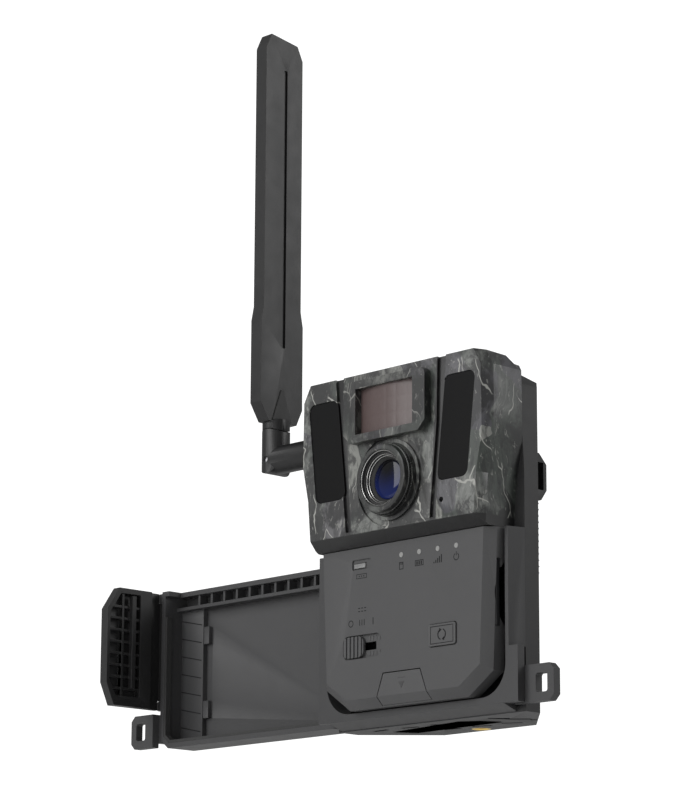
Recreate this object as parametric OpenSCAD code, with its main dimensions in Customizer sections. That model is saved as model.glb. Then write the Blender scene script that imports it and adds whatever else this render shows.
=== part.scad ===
// Trail camera: a two-shell head over a battery bay, with a slide-out battery cartridge,
// a swing door with an over-centre latch, and a folding paddle antenna.
// Sizes are in millimetres. Pieces are drawn with the head's front face at y = 0, the base at z = 0
// and the left-right centre at x = 0, then moved back so that the origin is the tripod socket's mouth.

/* [Head] */
// Width of the head at its widest
head_w = 97.6; // [94:0.4:120]
// Height of the head's top above the base
head_top = 130.4; // [126:0.2:160]
// Height of the head's lower front edge above the base
head_bottom = 70; // [70:0.2:74]
// Wall of the two head shells
wall = 2.2; // [1.8:0.1:2.6]
// Depth from the head's front to the back wall
body_depth = 52.5; // [52:0.5:64]
// Depth of the front shell
split_y = 19.3; // [19:0.1:21]

/* [Optics] */
// Height of the lens above the head's lower front edge
lens_rise = 18; // [17:0.1:19]
// Radius of the lens bezel's face
bezel_r = 12.7; // [12:0.1:13.4]
// Radius of the threaded lens barrel
barrel_r = 6; // [5.5:0.1:6.5]
// Width of the motion sensor's window
pir_w = 30; // [28:0.5:31]
// Height of the motion sensor's window
pir_h = 17.4; // [16:0.2:18]
// Stroke of the infrared cut filter's frame
filter_stroke = 7; // [6.5:0.1:7.5]

/* [Battery bay] */
// Distance from the head's front to the bay's rim
rim_y = 12.3; // [12:0.1:13]
// Width of the bay's rim on the hinge side
rim_w = 4.4; // [4.2:0.1:5]
// Height of the bay's floor above the base
bay_floor = 5.4; // [5:0.1:6]
// Outer diameter of an AA cell
cell_d = 14.2; // [13.8:0.1:14.2]
// Length of an AA cell
cell_l = 50.5; // [49.5:0.1:51]
// Wall of the battery case
case_wall = 1; // [0.9:0.05:1.1]
// Travel of the cartridge out of the bay
cartridge_travel = 36; // [30:1:38]

/* [Door] */
// Wall of the door
door_wall = 2; // [1.6:0.1:2.2]
// Distance that the closed door stands proud of the head's front
door_proud = 2; // [1:0.1:4]
// Radius of the door's hinge pins
hinge_pin_r = 1; // [0.8:0.05:1.1]
// Radius of the door's hinge knuckles
knuckle_r = 2; // [1.9:0.05:2.1]
// Running clearance round every pin
pin_gap = 0.04; // [0.02:0.01:0.08]
// Length of the latch from its pin to its tip
latch_l = 31; // [28:0.5:34]
// Height of the latch
latch_h = 47.5; // [40:0.5:47.5]

/* [Antenna] */
// Length of the antenna's blade
blade_l = 158; // [120:1:200]
// Width of the antenna's blade
blade_w = 22; // [18:0.5:26]
// Thickness of the antenna's blade
blade_t = 6; // [5:0.2:8]
// Radius of the antenna's elbow
elbow_r = 5.5; // [5.2:0.1:6]
// Distance from the head's side to the antenna's folding axis
antenna_reach = 24.6; // [22:0.2:30]

/* [Mounts] */
// Radius of the tripod thread's bore
tripod_bore_r = 2.55; // [2.5:0.05:2.7]
// Depth of the tripod thread's bore
tripod_depth = 7; // [5:0.5:7]
// Height of the slot in each padlock ear
ear_slot_h = 6.8; // [6:0.1:8]
// Width of the slot in each padlock ear
ear_slot_w = 5.5; // [5:0.1:6]

/* [Hidden] */

// Common
eps = 0.01;
fit_gap = 0.3;
hw = head_w / 2;
tripod_y = 48;
insert_r = 3.9;

// Head
lens_z = head_bottom + lens_rise;
head_floor = head_bottom - 3.8;
lip_run = 6;
side_round = 4.5;
side_draw = 2;
bevel_step = 0.2;
pir_z = head_top - 15.1;
pir_frame_w = pir_w + 12.8;
pir_frame_h = pir_h + 6.1;
window_top = head_top - 7.7;
window_bottom = head_bottom + 14;
window_in_top = hw - 20.5;
window_in_bottom = hw - 24.9;
window_w = 15.7;
window_t = 1.8;
window_corner = 3;
mic_x = hw - 22.3;
mic_z = head_bottom + 7;
rear_hw = hw + 0.8;
taper_y = split_y + 7.3;
hinge_side_hw = hw - 2;
board_y = split_y + 3;
board_t = 1.6;
led_board_y = 6;
led_r = 1.5;
shelf_t = 2;
lens_hole_r = 13.8;
pir_open_w = pir_frame_w - 6;
pir_open_h = pir_frame_h - 5;
shell_screw_r = 1.3;
screw_spots = [
    [hw - 8.3, head_bottom + 5.6],
    [hw - 5.5, head_top - 12]
];

gasket_w = 1;
gasket_t = 0.8;
flange_r = 15;
board_spots = [
    for (sx = [-1, 1], sz = [-1, 1])
        [sx * (hw - 19), (head_bottom + head_top) / 2 - 3 + sz * 18]
];
bracket_spots = [
    for (sx = [-1, 1], z = [head_bottom + 10, head_bottom - 8])
        [sx * 14, z]
];

// Bay
frame_hw = hw + 1.8;
bay_hw = frame_hw - rim_w;
rim_right = hw + 3.4;
rim_bottom = 2.8;
ear_base_z = 23;
module_hw = bay_hw - 0.9;
bevel = 3.7;
face_y = 6;
module_bottom = bay_floor + 0.5;
module_top = head_floor - fit_gap;
case_y = 13;
cell_pitch = cell_d + 0.1;
rows = 4;
layers = 2;
case_end = 4.2;
plate_t = 0.5;
case_hw = cell_l / 2 + case_end + case_wall;
case_bottom = module_bottom + 0.2;
case_h = rows * cell_pitch + 2 * case_wall + 0.1;
case_depth = layers * cell_pitch + 2 * case_wall + 0.1;
case_corner = 0.3 * cell_d;
case_foot = 0.31 * cell_d;
boss_x = case_hw - 3.35;
boss_z = case_bottom + 8.3;
frame_screw_r = 1.1;
frame_screw_x = bay_hw - 2.6;
frame_screw_z = bay_floor + 2.6;

// Panel furniture
card_z = 42.5;
card_y = 9.9;
card_t = 2.1;
card_w = 24;
card_l = 32;
scoop_r = 15.7;
switch_x = -20.7;
switch_z = 28.8;
switch_w = 20.1;
switch_h = 8.8;
slider_w = 10.6;
sync_x = 21.3;
sync_z = 29;
sync_w = 13.7;
sync_h = 8;
format_x = -21;
format_z = 59.6;
format_w = 10;
format_h = 3.9;
light_xs = [0, 9.3, 18.8, 28.2];
light_z = 60.7;
light_r = 0.95;
tab_top = 17.7;
tab_half = [12.6, 9.4];
tab_gap = 0.35;
tab_back = 9.2;

// Door, drawn closed
hinge_x = -(frame_hw - 0.6);
hinge_y = rim_y + 3.8;
door_left = hinge_x - 2.2;
door_right = rim_right + 0.2;
door_z0 = 2;
door_z1 = head_floor - 0.4;
door_rim_y = rim_y - fit_gap;
door_top_y = face_y - 0.6;
door_floor = 2.2;
rib_wall_z = door_z1 - 7.6;
rib_pitch = 7.6;
knuckle_l = 9;
knuckle_zs = [14, 52];
latch_x = rim_right + 2.5;
latch_y = 9;
latch_z0 = 17.8;
latch_t = 4;
latch_lug = 3.6;
latch_rib_pitch = 4.7;
ear_t = 3.4;
ear_out = hw + 17.2;
ear_z0 = 2.4;
ear_h = 13.4;
ear_y = split_y - ear_t;
ear_slot_x = ear_out - 3.1 - ear_slot_w;

// Antenna
antenna_y = 10;
antenna_z = 107.1;
antenna_x = -(hw + antenna_reach);
knuckle_top = 12;
blade_z0 = antenna_z + 14.8;
tongue_t = 4;
antenna_pin_r = 1.2;
socket_r = 3.2;
socket_inner = 2.8;

// ---- outlines ----

function unit(v) = v / norm(v);

// Left-hand normal of the edge from a to b, which points into an outline that runs anticlockwise
function inward(a, b) = let (d = unit(b - a)) [-d[1], d[0]];

// The outline moved in by a distance, with mitred corners
function inset(outline, by) = [
    for (i = [0 : len(outline) - 1])
        let (
            n = len(outline),
            here = outline[i],
            before = inward(outline[(i + n - 1) % n], here),
            after = inward(here, outline[(i + 1) % n])
        )
        here + by * (before + after) / (1 + before * after)
];

// A right-hand half outline, bottom to top, joined to its mirror image
function mirrored(half) = concat(half, [for (i = [len(half) - 1 : -1 : 0]) [-half[i][0], half[i][1]]]);

function head_outline() = mirrored([
    [hw - 4.4, head_floor],
    [hw - 4.2, head_bottom],
    [hw - 2.9, head_bottom + 14.7],
    [hw, head_bottom + 28],
    [hw, head_bottom + 42],
    [hw - 0.2, head_top - 6],
    [hw - 3.6, head_top]
]);

// The front shell's section where it meets the rear shell
function split_outline() = mirrored([
    [hw - 4.4, head_floor],
    [hw - 4.2, head_bottom],
    [hw - 2.9, head_bottom + 14.7],
    [hw, head_bottom + 28],
    [hw, head_bottom + 42],
    [hw - 0.2, head_top - 6],
    [hw - 1.2, head_top - 4.2]
]);

function rear_outline() = concat(
    [
        [rear_hw, 0],
        [rear_hw, head_bottom + 17],
        [hw - 0.6, head_bottom + 41],
        [hw - 0.6, head_top - 11],
        [hw - 6, head_top - 5.4],
        [6 - hw, head_top - 5.4],
        [0.6 - hw, head_top - 11],
        [0.6 - hw, head_bottom + 41],
        [-rear_hw, head_bottom + 17],
        [-rear_hw, head_floor + 0.2],
        [-hinge_side_hw, head_floor + 0.2],
        [-hinge_side_hw, 0]
    ]
);

function rear_plan() = mirrored([
    [rear_hw, split_y],
    [rear_hw, taper_y],
    [rear_hw + taper_y - body_depth, body_depth]
]);

function rear_side() = [
    [split_y, 0],
    [body_depth, 0],
    [body_depth, head_top - 18],
    [taper_y - 2, head_top - 6],
    [split_y, head_top - 5]
];

function case_outline() = mirrored([
    [case_hw, case_y],
    [case_hw, case_y + case_depth - case_corner],
    [case_hw - case_corner, case_y + case_depth]
]);

// ---- shared shapes ----

// Extrudes a front view (x across, z up) backwards from y
module from_front(y, depth) {
    translate([0, y + depth, 0])
        rotate([90, 0, 0])
            linear_extrude(depth)
                children();
}

// Extrudes a side view (y back, z up) towards the right from x
module across(x, width) {
    translate([x, 0, 0])
        rotate([90, 0, 90])
            linear_extrude(width)
                children();
}

// Extrudes a plan view upwards from z
module upright(z, height) {
    translate([0, 0, z])
        linear_extrude(height)
            children();
}

module block(low, high) {
    translate(low)
        cube(high - low);
}

// A round bar or hole from front to back
module rod_y(x, y, z, r, length) {
    translate([x, y + length, z])
        rotate([90, 0, 0])
            cylinder(h = length, r = r, $fn = 48);
}

module rod_x(x, y, z, r, length) {
    translate([x, y, z])
        rotate([0, 90, 0])
            cylinder(h = length, r = r, $fn = 48);
}

module rod_z(x, y, z, r, length) {
    translate([x, y, z])
        cylinder(h = length, r = r, $fn = 48);
}

module rounded(w, h, r) {
    square([w - 2 * r, h], center = true);
    square([w, h - 2 * r], center = true);
    for (sx = [-1, 1], sy = [-1, 1])
        translate([sx * (w / 2 - r), sy * (h / 2 - r)])
            circle(r, $fn = 32);
}

// How far a bevel runs past a corner of an outline: past a convex one, but not past a hollow one
function reach(outline, i) =
    let (n = len(outline), here = outline[i % n], before = outline[(i + n - 1) % n], after = outline[(i + 1) % n])
    cross(unit(here - before), unit(after - here)) > 0 ? 6 : 0.12;

// Cuts a bevel along edge i of a front view's outline, so deep back from y and so far in
module edge_bevel(outline, i, y, depth, in) {
    a = outline[i];
    b = outline[(i + 1) % len(outline)];
    start = reach(outline, i);
    translate([a[0], y, a[1]])
        rotate([0, -atan2(b[1] - a[1], b[0] - a[0]), 0])
            across(-start, norm(b - a) + start + reach(outline, i + 1))
                polygon([[-depth, -in], [2 * depth, -in], [-depth, 2 * in]]);
}

module both_sides() {
    children();
    mirror([1, 0, 0])
        children();
}

// Moves a piece from the drawing position to the row frame
module placed() {
    translate([0, -tripod_y, 0])
        children();
}

// Turns a piece drawn with the door closed to the open door's place
module opened() {
    translate([2 * hinge_x, 2 * hinge_y, 0])
        rotate(180)
            children();
}

// ---- casing ----

// The head's solid form, whose sides draw in towards the front face
module head_form(by, back = split_y) {
    outline = head_outline();
    count = len(outline);
    difference() {
        from_front(by, back - by)
            polygon(inset(outline, by));
        for (i = [0 : count - 2])
            if (i != count / 2 - 1 && by < 1)
                edge_bevel(outline, i, by, side_round - (i % 2) * bevel_step, side_draw - (i % 2) * bevel_step / 2);
    }
}

// The front shell's side view, which gives the slanted lip and the stepped top
module head_side(by) {
    polygon([
        [by, head_bottom + by * 1.1],
        [lip_run, head_floor + by],
        [split_y + 1, head_floor + by],
        [split_y + 1, head_top - 4.2 - by],
        [split_y - 2.5, head_top - 3.8 - by],
        [split_y - 5, head_top - 0.8 - by],
        [by, head_top - by]
    ]);
}

function window_outline(by) = inset([
    [window_in_bottom, window_bottom],
    [window_in_bottom + window_w, window_bottom],
    [window_in_top + window_w, window_top],
    [window_in_top, window_top]
], by);

// A convex outline with its corners rounded in short flats
module round_corners(outline, r) {
    n = len(outline);
    flats = 6;
    centres = inset(outline, r);
    polygon([
        for (i = [0 : n - 1])
            let (
                from = -inward(outline[(i + n - 1) % n], outline[i]),
                to = -inward(outline[i], outline[(i + 1) % n]),
                start = atan2(from[1], from[0]),
                turn = acos(from * to)
            )
            for (k = [0 : flats])
                centres[i] + r * [cos(start + turn * k / flats), sin(start + turn * k / flats)]
    ]);
}

// Panel groove that runs down beside the lens
module panel_groove() {
    from_front(-eps, 1.2)
        polygon([
            [hw - 28.3, head_bottom + 1],
            [hw - 25.4, head_bottom + 1],
            [hw - 21.8, head_bottom + 36],
            [hw - 19.6, head_top + 1],
            [hw - 24, head_top + 1],
            [hw - 24.6, head_bottom + 36]
        ]);
}

module front_shell() {
    color("dimgray") placed() difference() {
        union() {
            difference() {
                intersection() {
                    head_form(0);
                    across(-hw - 1, head_w + 2)
                        head_side(0);
                }
                intersection() {
                    head_form(wall, split_y + 1);
                    across(-hw - 1, head_w + 2)
                        head_side(wall);
                }
            }
            front_bosses();
        }
        from_front(split_y - gasket_t, gasket_t + 1)
            gasket_ring();
        both_sides() {
            from_front(-eps, wall + 1)
                round_corners(window_outline(0), window_corner);
            panel_groove();
            for (s = screw_spots)
                rod_y(s[0], split_y - 9, s[1], shell_screw_r - 0.15, 10);
        }
        rod_y(0, -eps, lens_z, lens_hole_r, wall + 1);
        from_front(-eps, 1)
            difference() {
                translate([0, lens_z])
                    circle(lens_hole_r + 3.4, $fn = 96);
                translate([0, lens_z])
                    circle(lens_hole_r + 1.4, $fn = 96);
            }
        from_front(-eps, wall + 1)
            translate([0, pir_z])
                rounded(pir_open_w, pir_open_h, 2);
        rod_y(mic_x, -eps, mic_z, 1, wall + 1);
        rod_x(-hw - 1, antenna_y, antenna_z, socket_r + 0.1, wall + 2);
    }
}

// Screw bosses and the LED boards' posts inside the front shell
module front_bosses() {
    intersection() {
        both_sides() {
            for (s = screw_spots) {
                rod_y(s[0], split_y - 10, s[1], shell_screw_r + 1.8, 10);
                block([s[0], split_y - 10, s[1] - 1.2], [hw, split_y, s[1] + 1.2]);
            }
            for (z = [window_bottom + 6, window_top - 6])
                block([hw - 1 - wall - 3, wall / 2, z - 1.5], [hw, led_board_y, z + 1.5]);
            for (z = [window_bottom - 2.4, window_top + 0.5])
                block([hw - 20, wall / 2, z], [hw - 14, led_board_y, z + 1.9]);
        }
        head_form(0.2);
    }
}

module rear_form(by) {
    intersection() {
        from_front(split_y, body_depth - split_y)
            polygon(inset(rear_outline(), by));
        upright(0, head_top)
            polygon(inset(rear_plan(), by));
        across(-rear_hw, 2 * rear_hw)
            polygon(inset(rear_side(), by));
    }
}

// The rear shell's hollow, open at the front
module rear_hollow() {
    difference() {
        union() {
            rear_form(wall);
            translate([0, -wall - eps, 0])
                intersection() {
                    rear_form(wall);
                    from_front(0, split_y + 2 * wall + 0.5)
                        union() {
                            polygon(inset(split_outline(), wall));
                            translate([-hw, 0])
                                square([2 * hw, head_floor + 0.1]);
                        }
                }
        }
        block([-hw, split_y, head_floor], [hw, body_depth, head_floor + shelf_t]);
    }
}

module rear_shell() {
    color("#39393b") placed() difference() {
        union() {
            difference() {
                rear_form(0);
                rear_hollow();
            }
            intersection() {
                rear_form(0.2);
                union() {
                    both_sides()
                        for (s = screw_spots)
                            rod_y(s[0], split_y, s[1], shell_screw_r + 2.2, 30);
                    both_sides()
                        rod_y(frame_screw_x, split_y, frame_screw_z, frame_screw_r + 2, 30);
                    rod_z(0, tripod_y, 0, insert_r + 1.6, tripod_depth + 2);
                    block([-insert_r - 1.6, tripod_y, 0], [insert_r + 1.6, body_depth, tripod_depth + 2]);
                    for (s = bracket_spots)
                        rod_y(s[0], body_depth - 7, s[1], 3.2, 7);
                    for (s = board_spots)
                        rod_y(s[0], board_y + board_t, s[1], 2.4, 30);
                }
            }
        }
        both_sides()
            for (s = screw_spots) {
                rod_y(s[0], split_y - 1, s[1], shell_screw_r + 0.15, 30);
                rod_y(s[0], split_y + 7, s[1], shell_screw_r + 1.4, 30);
            }
        both_sides() {
            rod_y(frame_screw_x, split_y - 1, frame_screw_z, frame_screw_r + 0.15, 30);
            rod_y(frame_screw_x, split_y + 6, frame_screw_z, frame_screw_r + 1.2, 30);
        }
        rod_z(0, tripod_y, -1, insert_r, tripod_depth + 2);
        for (s = bracket_spots)
            rod_y(s[0], body_depth - 6.2, s[1], 1.2, 7);
        for (s = board_spots)
            rod_y(s[0], board_y, s[1], 1, 8);
        base_relief();
    }
}

// Shallow bark-like pockets in the underside
module base_relief() {
    for (i = [-2 : 2], j = [0 : 2])
        translate([i * 15 + j * 4 - 4, split_y + 5 + j * 7, -eps])
            rotate(20 + 12 * i)
                cube([8, 2.2, 0.8]);
}

// The bay frame's right-hand section above the ear's recess
function flare_plan() = [
    [bay_hw, rim_y],
    [bay_hw + 1.6, rim_y],
    [rear_hw, split_y],
    [bay_hw, split_y]
];

module bay_frame() {
    color("#4a4a4c") placed() difference() {
        union() {
            difference() {
                union() {
                    block([-frame_hw, rim_y, rim_bottom], [rim_right, rim_y + 1.4, ear_base_z]);
                    block([-frame_hw, rim_y, rim_bottom], [0, rim_y + 1.4, head_floor]);
                    block([-bay_hw - 1.2, rim_y, rim_bottom], [bay_hw + 1.2, split_y, head_floor]);
                    block([bay_hw, rim_y, rim_bottom], [rim_right, rim_y + 3.5, ear_base_z]);
                    upright(ear_base_z, head_floor - ear_base_z)
                        polygon(flare_plan());
                }
                bay_opening(rim_y - 1, split_y + 1);
            }
            frame_collar();
            padlock_ear(ear_y, bay_hw + 0.6);
            for (z = knuckle_zs)
                frame_knuckle(z);
            base_skirt();
        }
        for (z = knuckle_zs)
            rod_z(hinge_x, hinge_y, z - knuckle_l - 1, hinge_pin_r + pin_gap, knuckle_l + 1.2);
        both_sides()
            rod_y(frame_screw_x, rim_y + 1.2, frame_screw_z, frame_screw_r - 0.1, split_y - rim_y);
    }
}

// The collar that plugs into the rear shell, clear of the frame screws' bosses
module frame_collar() {
    difference() {
        intersection() {
            translate([0, -wall - 1, 0])
                rear_form(wall + 0.15);
            block([-hw, split_y - 0.5, rim_bottom], [hw, split_y + 4, head_floor - 1]);
        }
        bay_opening(rim_y, split_y + 8);
        both_sides()
            rod_y(frame_screw_x, split_y, frame_screw_z, frame_screw_r + 2.3, 8);
    }
}

// The bay's mouth, with large round lower corners
module bay_opening(y0, y1) {
    r = 12;
    from_front(y0, y1 - y0) {
        translate([-bay_hw + r, bay_floor])
            square([2 * (bay_hw - r), head_top]);
        translate([-bay_hw, bay_floor + r])
            square([2 * bay_hw, head_top]);
        for (sx = [-1, 1])
            translate([sx * (bay_hw - r), bay_floor + r])
                circle(r, $fn = 64);
    }
}

// The slanted skirt that runs down from the rim to the base
module base_skirt() {
    across(1.2 - bay_hw, 2 * bay_hw - 2.4)
        polygon([
            [rim_y, rim_bottom],
            [split_y, 0.3],
            [split_y, bay_floor - 0.1],
            [rim_y, bay_floor - 0.1]
        ]);
}

// A padlock ear that stands out to the right, with a slot through it
module padlock_ear(y, x0) {
    difference() {
        block([x0, y, ear_z0], [ear_out, y + ear_t, ear_z0 + ear_h]);
        for (z = [ear_z0, ear_z0 + ear_h])
            translate([ear_out, y + ear_t / 2, z])
                rotate([0, 45, 0])
                    cube([3, ear_t + 1, 3], center = true);
        from_front(y - 1, ear_t + 2)
            translate([ear_slot_x + ear_slot_w / 2, ear_z0 + ear_h / 2])
                rounded(ear_slot_w, ear_slot_h, 0.9);
    }
}

// One hinge knuckle of the frame, below the door's knuckle
module frame_knuckle(z) {
    rod_z(hinge_x, hinge_y, z - knuckle_l, knuckle_r, knuckle_l);
    block([hinge_x, rim_y + 0.7, z - knuckle_l], [1 - bay_hw - 1.2, hinge_y + knuckle_r, z]);
}

// The ring that the gasket fills, along the middle of the front shell's rim
module gasket_ring() {
    difference() {
        polygon(inset(split_outline(), wall / 2 - gasket_w / 2));
        polygon(inset(split_outline(), wall / 2 + gasket_w / 2));
    }
}

module shell_gasket() {
    color("#202020") placed() from_front(split_y - gasket_t, gasket_t)
        gasket_ring();
}

module shell_screws() {
    color("silver") placed() both_sides()
        for (s = screw_spots) {
            rod_y(s[0], split_y - 8, s[1], shell_screw_r - 0.15, 15);
            screw_head(s[0], split_y + 7, s[1], shell_screw_r + 1.2, 1.6);
        }
}

module screw_head(x, y, z, r, t) {
    difference() {
        rod_y(x, y, z, r, t);
        for (a = [0, 90])
            translate([x, y + t, z])
                rotate([0, a, 0])
                    cube([1.4 * r, 1.2, 0.5], center = true);
    }
}

module frame_screws() {
    color("silver") placed() both_sides() {
        rod_y(frame_screw_x, rim_y + 2, frame_screw_z, frame_screw_r - 0.1, split_y + 6 - rim_y - 2);
        screw_head(frame_screw_x, split_y + 6, frame_screw_z, frame_screw_r + 1, 1.3);
    }
}

// ---- optics ----

// A ring turned about the lens axis: points are radius and distance back from the head's front
module lens_turned(points) {
    translate([0, 0, lens_z])
        rotate([-90, 0, 0])
            rotate_extrude($fn = 96)
                polygon(points);
}

module lens_bezel() {
    color("#3c3e3c") placed() lens_turned([
        [7.6, -1.6],
        [8.6, -3],
        [9.2, -3],
        [9.4, -4.2],
        [10.4, -4.2],
        [10.6, -5.2],
        [bezel_r - 0.6, -5.2],
        [bezel_r, -4.6],
        [lens_hole_r - 0.1, 0],
        [lens_hole_r - 0.1, wall],
        [flange_r, wall],
        [flange_r, wall + 1],
        [barrel_r + 0.1, wall + 1],
        [barrel_r + 0.1, 0.6],
        [7.6, 0.6]
    ]);
}

module lens_glass() {
    color("#15181f", 0.8) placed() lens_turned([
        [0, -1.5],
        [2.5, -1.4],
        [4.8, -1.1],
        [6.6, -0.5],
        [7.4, -0.1],
        [7.4, 0.6],
        [0, 0.6]
    ]);
}

module lens_barrel() {
    color("#222222") placed() lens_turned([
        [4.6, 0.6],
        [barrel_r, 0.6],
        [barrel_r, 9.5],
        [3.2, 9.5],
        [3.2, 6],
        [4.6, 4]
    ]);
}

module lens_holder() {
    color("#262626") placed() difference() {
        union() {
            rod_y(0, wall + 1, lens_z, barrel_r + 2, 8);
            block([-12, 10, lens_z - 9], [12, 17.6, lens_z + 9]);
        }
        rod_y(0, wall, lens_z, barrel_r, 8.6);
        block([-11, 10.6, lens_z - 4.15], [11, 13, lens_z + 4.15]);
        block([-8, 12.9, lens_z - 7], [8, 18, lens_z + 7]);
    }
}

// The filter's frame, with a clear pane and an infrared cut pane side by side
module ir_cut_filter() {
    color("#7a3040") placed() difference() {
        block([-10.6, 11, lens_z - 4], [3.2, 12.5, lens_z + 4]);
        block([-2.8, 10.9, lens_z - 3], [2.6, 11.6, lens_z + 3]);
        block([-10, 10.9, lens_z - 3], [-4, 11.6, lens_z + 3]);
    }
}

module sensor_board() {
    color("#1d5c35") placed() union() {
        block([-12, 17.6, lens_z - 9], [12, 19, lens_z + 9]);
        block([-4.5, 16, lens_z - 3.8], [4.5, 17.6, lens_z + 3.8]);
    }
}

module pir_frame() {
    color("#4a4c48") placed() difference() {
        from_front(-3.4, 3.4)
            translate([0, pir_z])
                rounded(pir_frame_w, pir_frame_h, 3);
        from_front(-4, 5)
            translate([0, pir_z])
                square([pir_w, pir_h], center = true);
        for (sx = [-1, 1])
            translate([sx * pir_frame_w / 2, -1.7, pir_z - pir_frame_h / 2])
                rotate([0, 45, 0])
                    cube([5, 4, 5], center = true);
    }
}

// A gently bowed Fresnel sheet
module pir_lens() {
    color("#8c7a78") placed() difference() {
        from_front(-2.4, 5)
            translate([0, pir_z])
                square([pir_w, pir_h], center = true);
        difference() {
            block([-pir_w, -4, pir_z - pir_h], [pir_w, 8, pir_z + pir_h]);
            rod_z(0, 59.8, pir_z - pir_h, 62, 2 * pir_h);
        }
        rod_z(0, 59.8, pir_z - pir_h, 60.8, 2 * pir_h);
    }
}

module pir_sensor() {
    color("silver") placed() union() {
        rod_y(0, 8, pir_z, 4.6, 4.2);
        rod_y(0, 12.2, pir_z, 5, 0.6);
        block([-9, 12.8, pir_z - 8], [9, 14, pir_z + 8]);
        for (sx = [-1, 1])
            block([sx * 8 - 0.8, 14, pir_z - 2], [sx * 8 + 0.8, board_y, pir_z + 2]);
    }
}

module ir_window(side) {
    color("#1c1c1c") placed() mirror([side < 0 ? 1 : 0, 0, 0])
        from_front(0.3, window_t)
            round_corners(window_outline(0), window_corner);
}

module ir_window_left() {
    ir_window(-1);
}

module ir_window_right() {
    ir_window(1);
}

module led_board(side) {
    color("#1d5c35") placed() mirror([side < 0 ? 1 : 0, 0, 0])
        from_front(led_board_y, 1.4)
            polygon(window_outline(-1.2));
}

module led_board_left() {
    led_board(-1);
}

module led_board_right() {
    led_board(1);
}

// Infrared emitters in three leaning columns behind each window
module ir_leds() {
    pitch = 4.6;
    count = 8;
    lean = (window_in_top - window_in_bottom) / (window_top - window_bottom);
    color("#b8b8c8") placed() both_sides()
        for (i = [-1 : 1], j = [0 : count - 1]) {
            z = window_bottom + 3.2 + j * pitch;
            x = window_in_bottom + window_w / 2 + (z - window_bottom) * lean + i * pitch;
            rod_y(x, led_board_y - 2, z, led_r, 2);
        }
}

module microphone() {
    color("#2a2a2a") placed() difference() {
        rod_y(mic_x, wall, mic_z, 3, 3);
        rod_y(mic_x, wall - 0.1, mic_z, 1, 1);
    }
}

// ---- electronics ----

module main_board() {
    color("#1d5c35") placed() union() {
        from_front(board_y, board_t)
            difference() {
                translate([0, (head_bottom + head_top) / 2 - 3])
                    square([2 * hw - 30, head_top - head_bottom - 18], center = true);
                for (s = board_spots)
                    translate(s)
                        circle(1.3, $fn = 24);
            }
        block([-14, board_y + board_t, lens_z - 16 + 5], [6, board_y + 4, lens_z]);
        block([-8, board_y + board_t, lens_z + 6], [8, board_y + 3.2, lens_z + 22]);
    }
}

module board_screws() {
    color("silver") placed()
        for (s = board_spots) {
            rod_y(s[0], board_y, s[1], 0.95, 7);
            rod_y(s[0], board_y - 1.2, s[1], 2, 1.2);
        }
}

module cellular_module() {
    color("silver") placed()
        block([10, board_y + board_t, lens_z + 2], [26, board_y + 4, lens_z + 26]);
}

module antenna_socket() {
    color("goldenrod") placed() difference() {
        union() {
            rod_x(-hw - 9, antenna_y, antenna_z, socket_r, 9 + wall + socket_inner);
            rod_x(-hw + wall, antenna_y, antenna_z, socket_r + 1.4, 1.6);
        }
        rod_x(-hw - 9.1, antenna_y, antenna_z, 1, 6);
    }
}

// Coaxial lead from the antenna socket to the cellular module, held along its whole route
module coax_pigtail() {
    r = 0.9;
    x0 = wall + socket_inner - hw;
    x1 = x0 + 4;
    color("#303030") placed() union() {
        rod_x(x0, antenna_y, antenna_z, r, 4);
        translate([x1, antenna_y, antenna_z])
            sphere(r, $fn = 24);
        rod_y(x1, antenna_y, antenna_z, r, board_y - 6 - antenna_y);
        translate([x1, board_y - 6, antenna_z])
            sphere(r, $fn = 24);
        rod_x(x1, board_y - 6, antenna_z, r, 8 - x1);
        translate([8, board_y - 6, antenna_z])
            sphere(r, $fn = 24);
        rod_y(8, board_y - 6, antenna_z, r, 6);
    }
}

// Spring contacts on the shelf's underside that meet the cartridge
module bay_contacts() {
    color("goldenrod") placed()
        for (i = [-2 : 2])
            block([i * 5 - 1.2, case_y + case_depth + 0.5, 40], [i * 5 + 1.2, body_depth - wall, 46]);
}

module tripod_insert() {
    color("#c9a227") placed() difference() {
        rod_z(0, tripod_y, 0, insert_r, tripod_depth + 1);
        rod_z(0, tripod_y, -1, tripod_bore_r, tripod_depth + 1);
    }
}

// Strap bridge with toothed rails that bite on bark, screwed to the back
module tree_bracket() {
    tooth = 2.4;
    plate_hw = rear_hw + taper_y - body_depth - 1;
    z0 = head_bottom - 14;
    z1 = head_bottom + 33;
    bridge_z = head_bottom + 15;
    out = 8;
    color("#343436") placed() difference() {
        union() {
            block([-plate_hw, body_depth, z0], [plate_hw, body_depth + 2, z1]);
            for (sx = [-1, 1])
                translate([sx * (plate_hw - 2), 0, 0])
                    across(-2, 4)
                        polygon(concat(
                            [[body_depth + 1, z0]],
                            [for (i = [0 : 11]) each [
                                [body_depth + 2, z0 + i * tooth],
                                [body_depth + 3.8, z0 + (i + 0.5) * tooth]
                            ]],
                            [[body_depth + 2, z0 + 12 * tooth], [body_depth + 1, z0 + 12 * tooth]]
                        ));
            across(-plate_hw, 2 * plate_hw)
                polygon([
                    [body_depth + 1, bridge_z],
                    [body_depth + out - 3, bridge_z],
                    [body_depth + out, bridge_z + 4],
                    [body_depth + out, bridge_z + 14],
                    [body_depth + out - 4, bridge_z + 18],
                    [body_depth + 1, bridge_z + 18]
                ]);
        }
        block([-plate_hw - 1, body_depth + 1.4, bridge_z + 4], [plate_hw + 1, body_depth + 6.2, bridge_z + 14.5]);
        for (s = bracket_spots)
            rod_y(s[0], body_depth - 1, s[1], 1.5, 4);
    }
}

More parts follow.
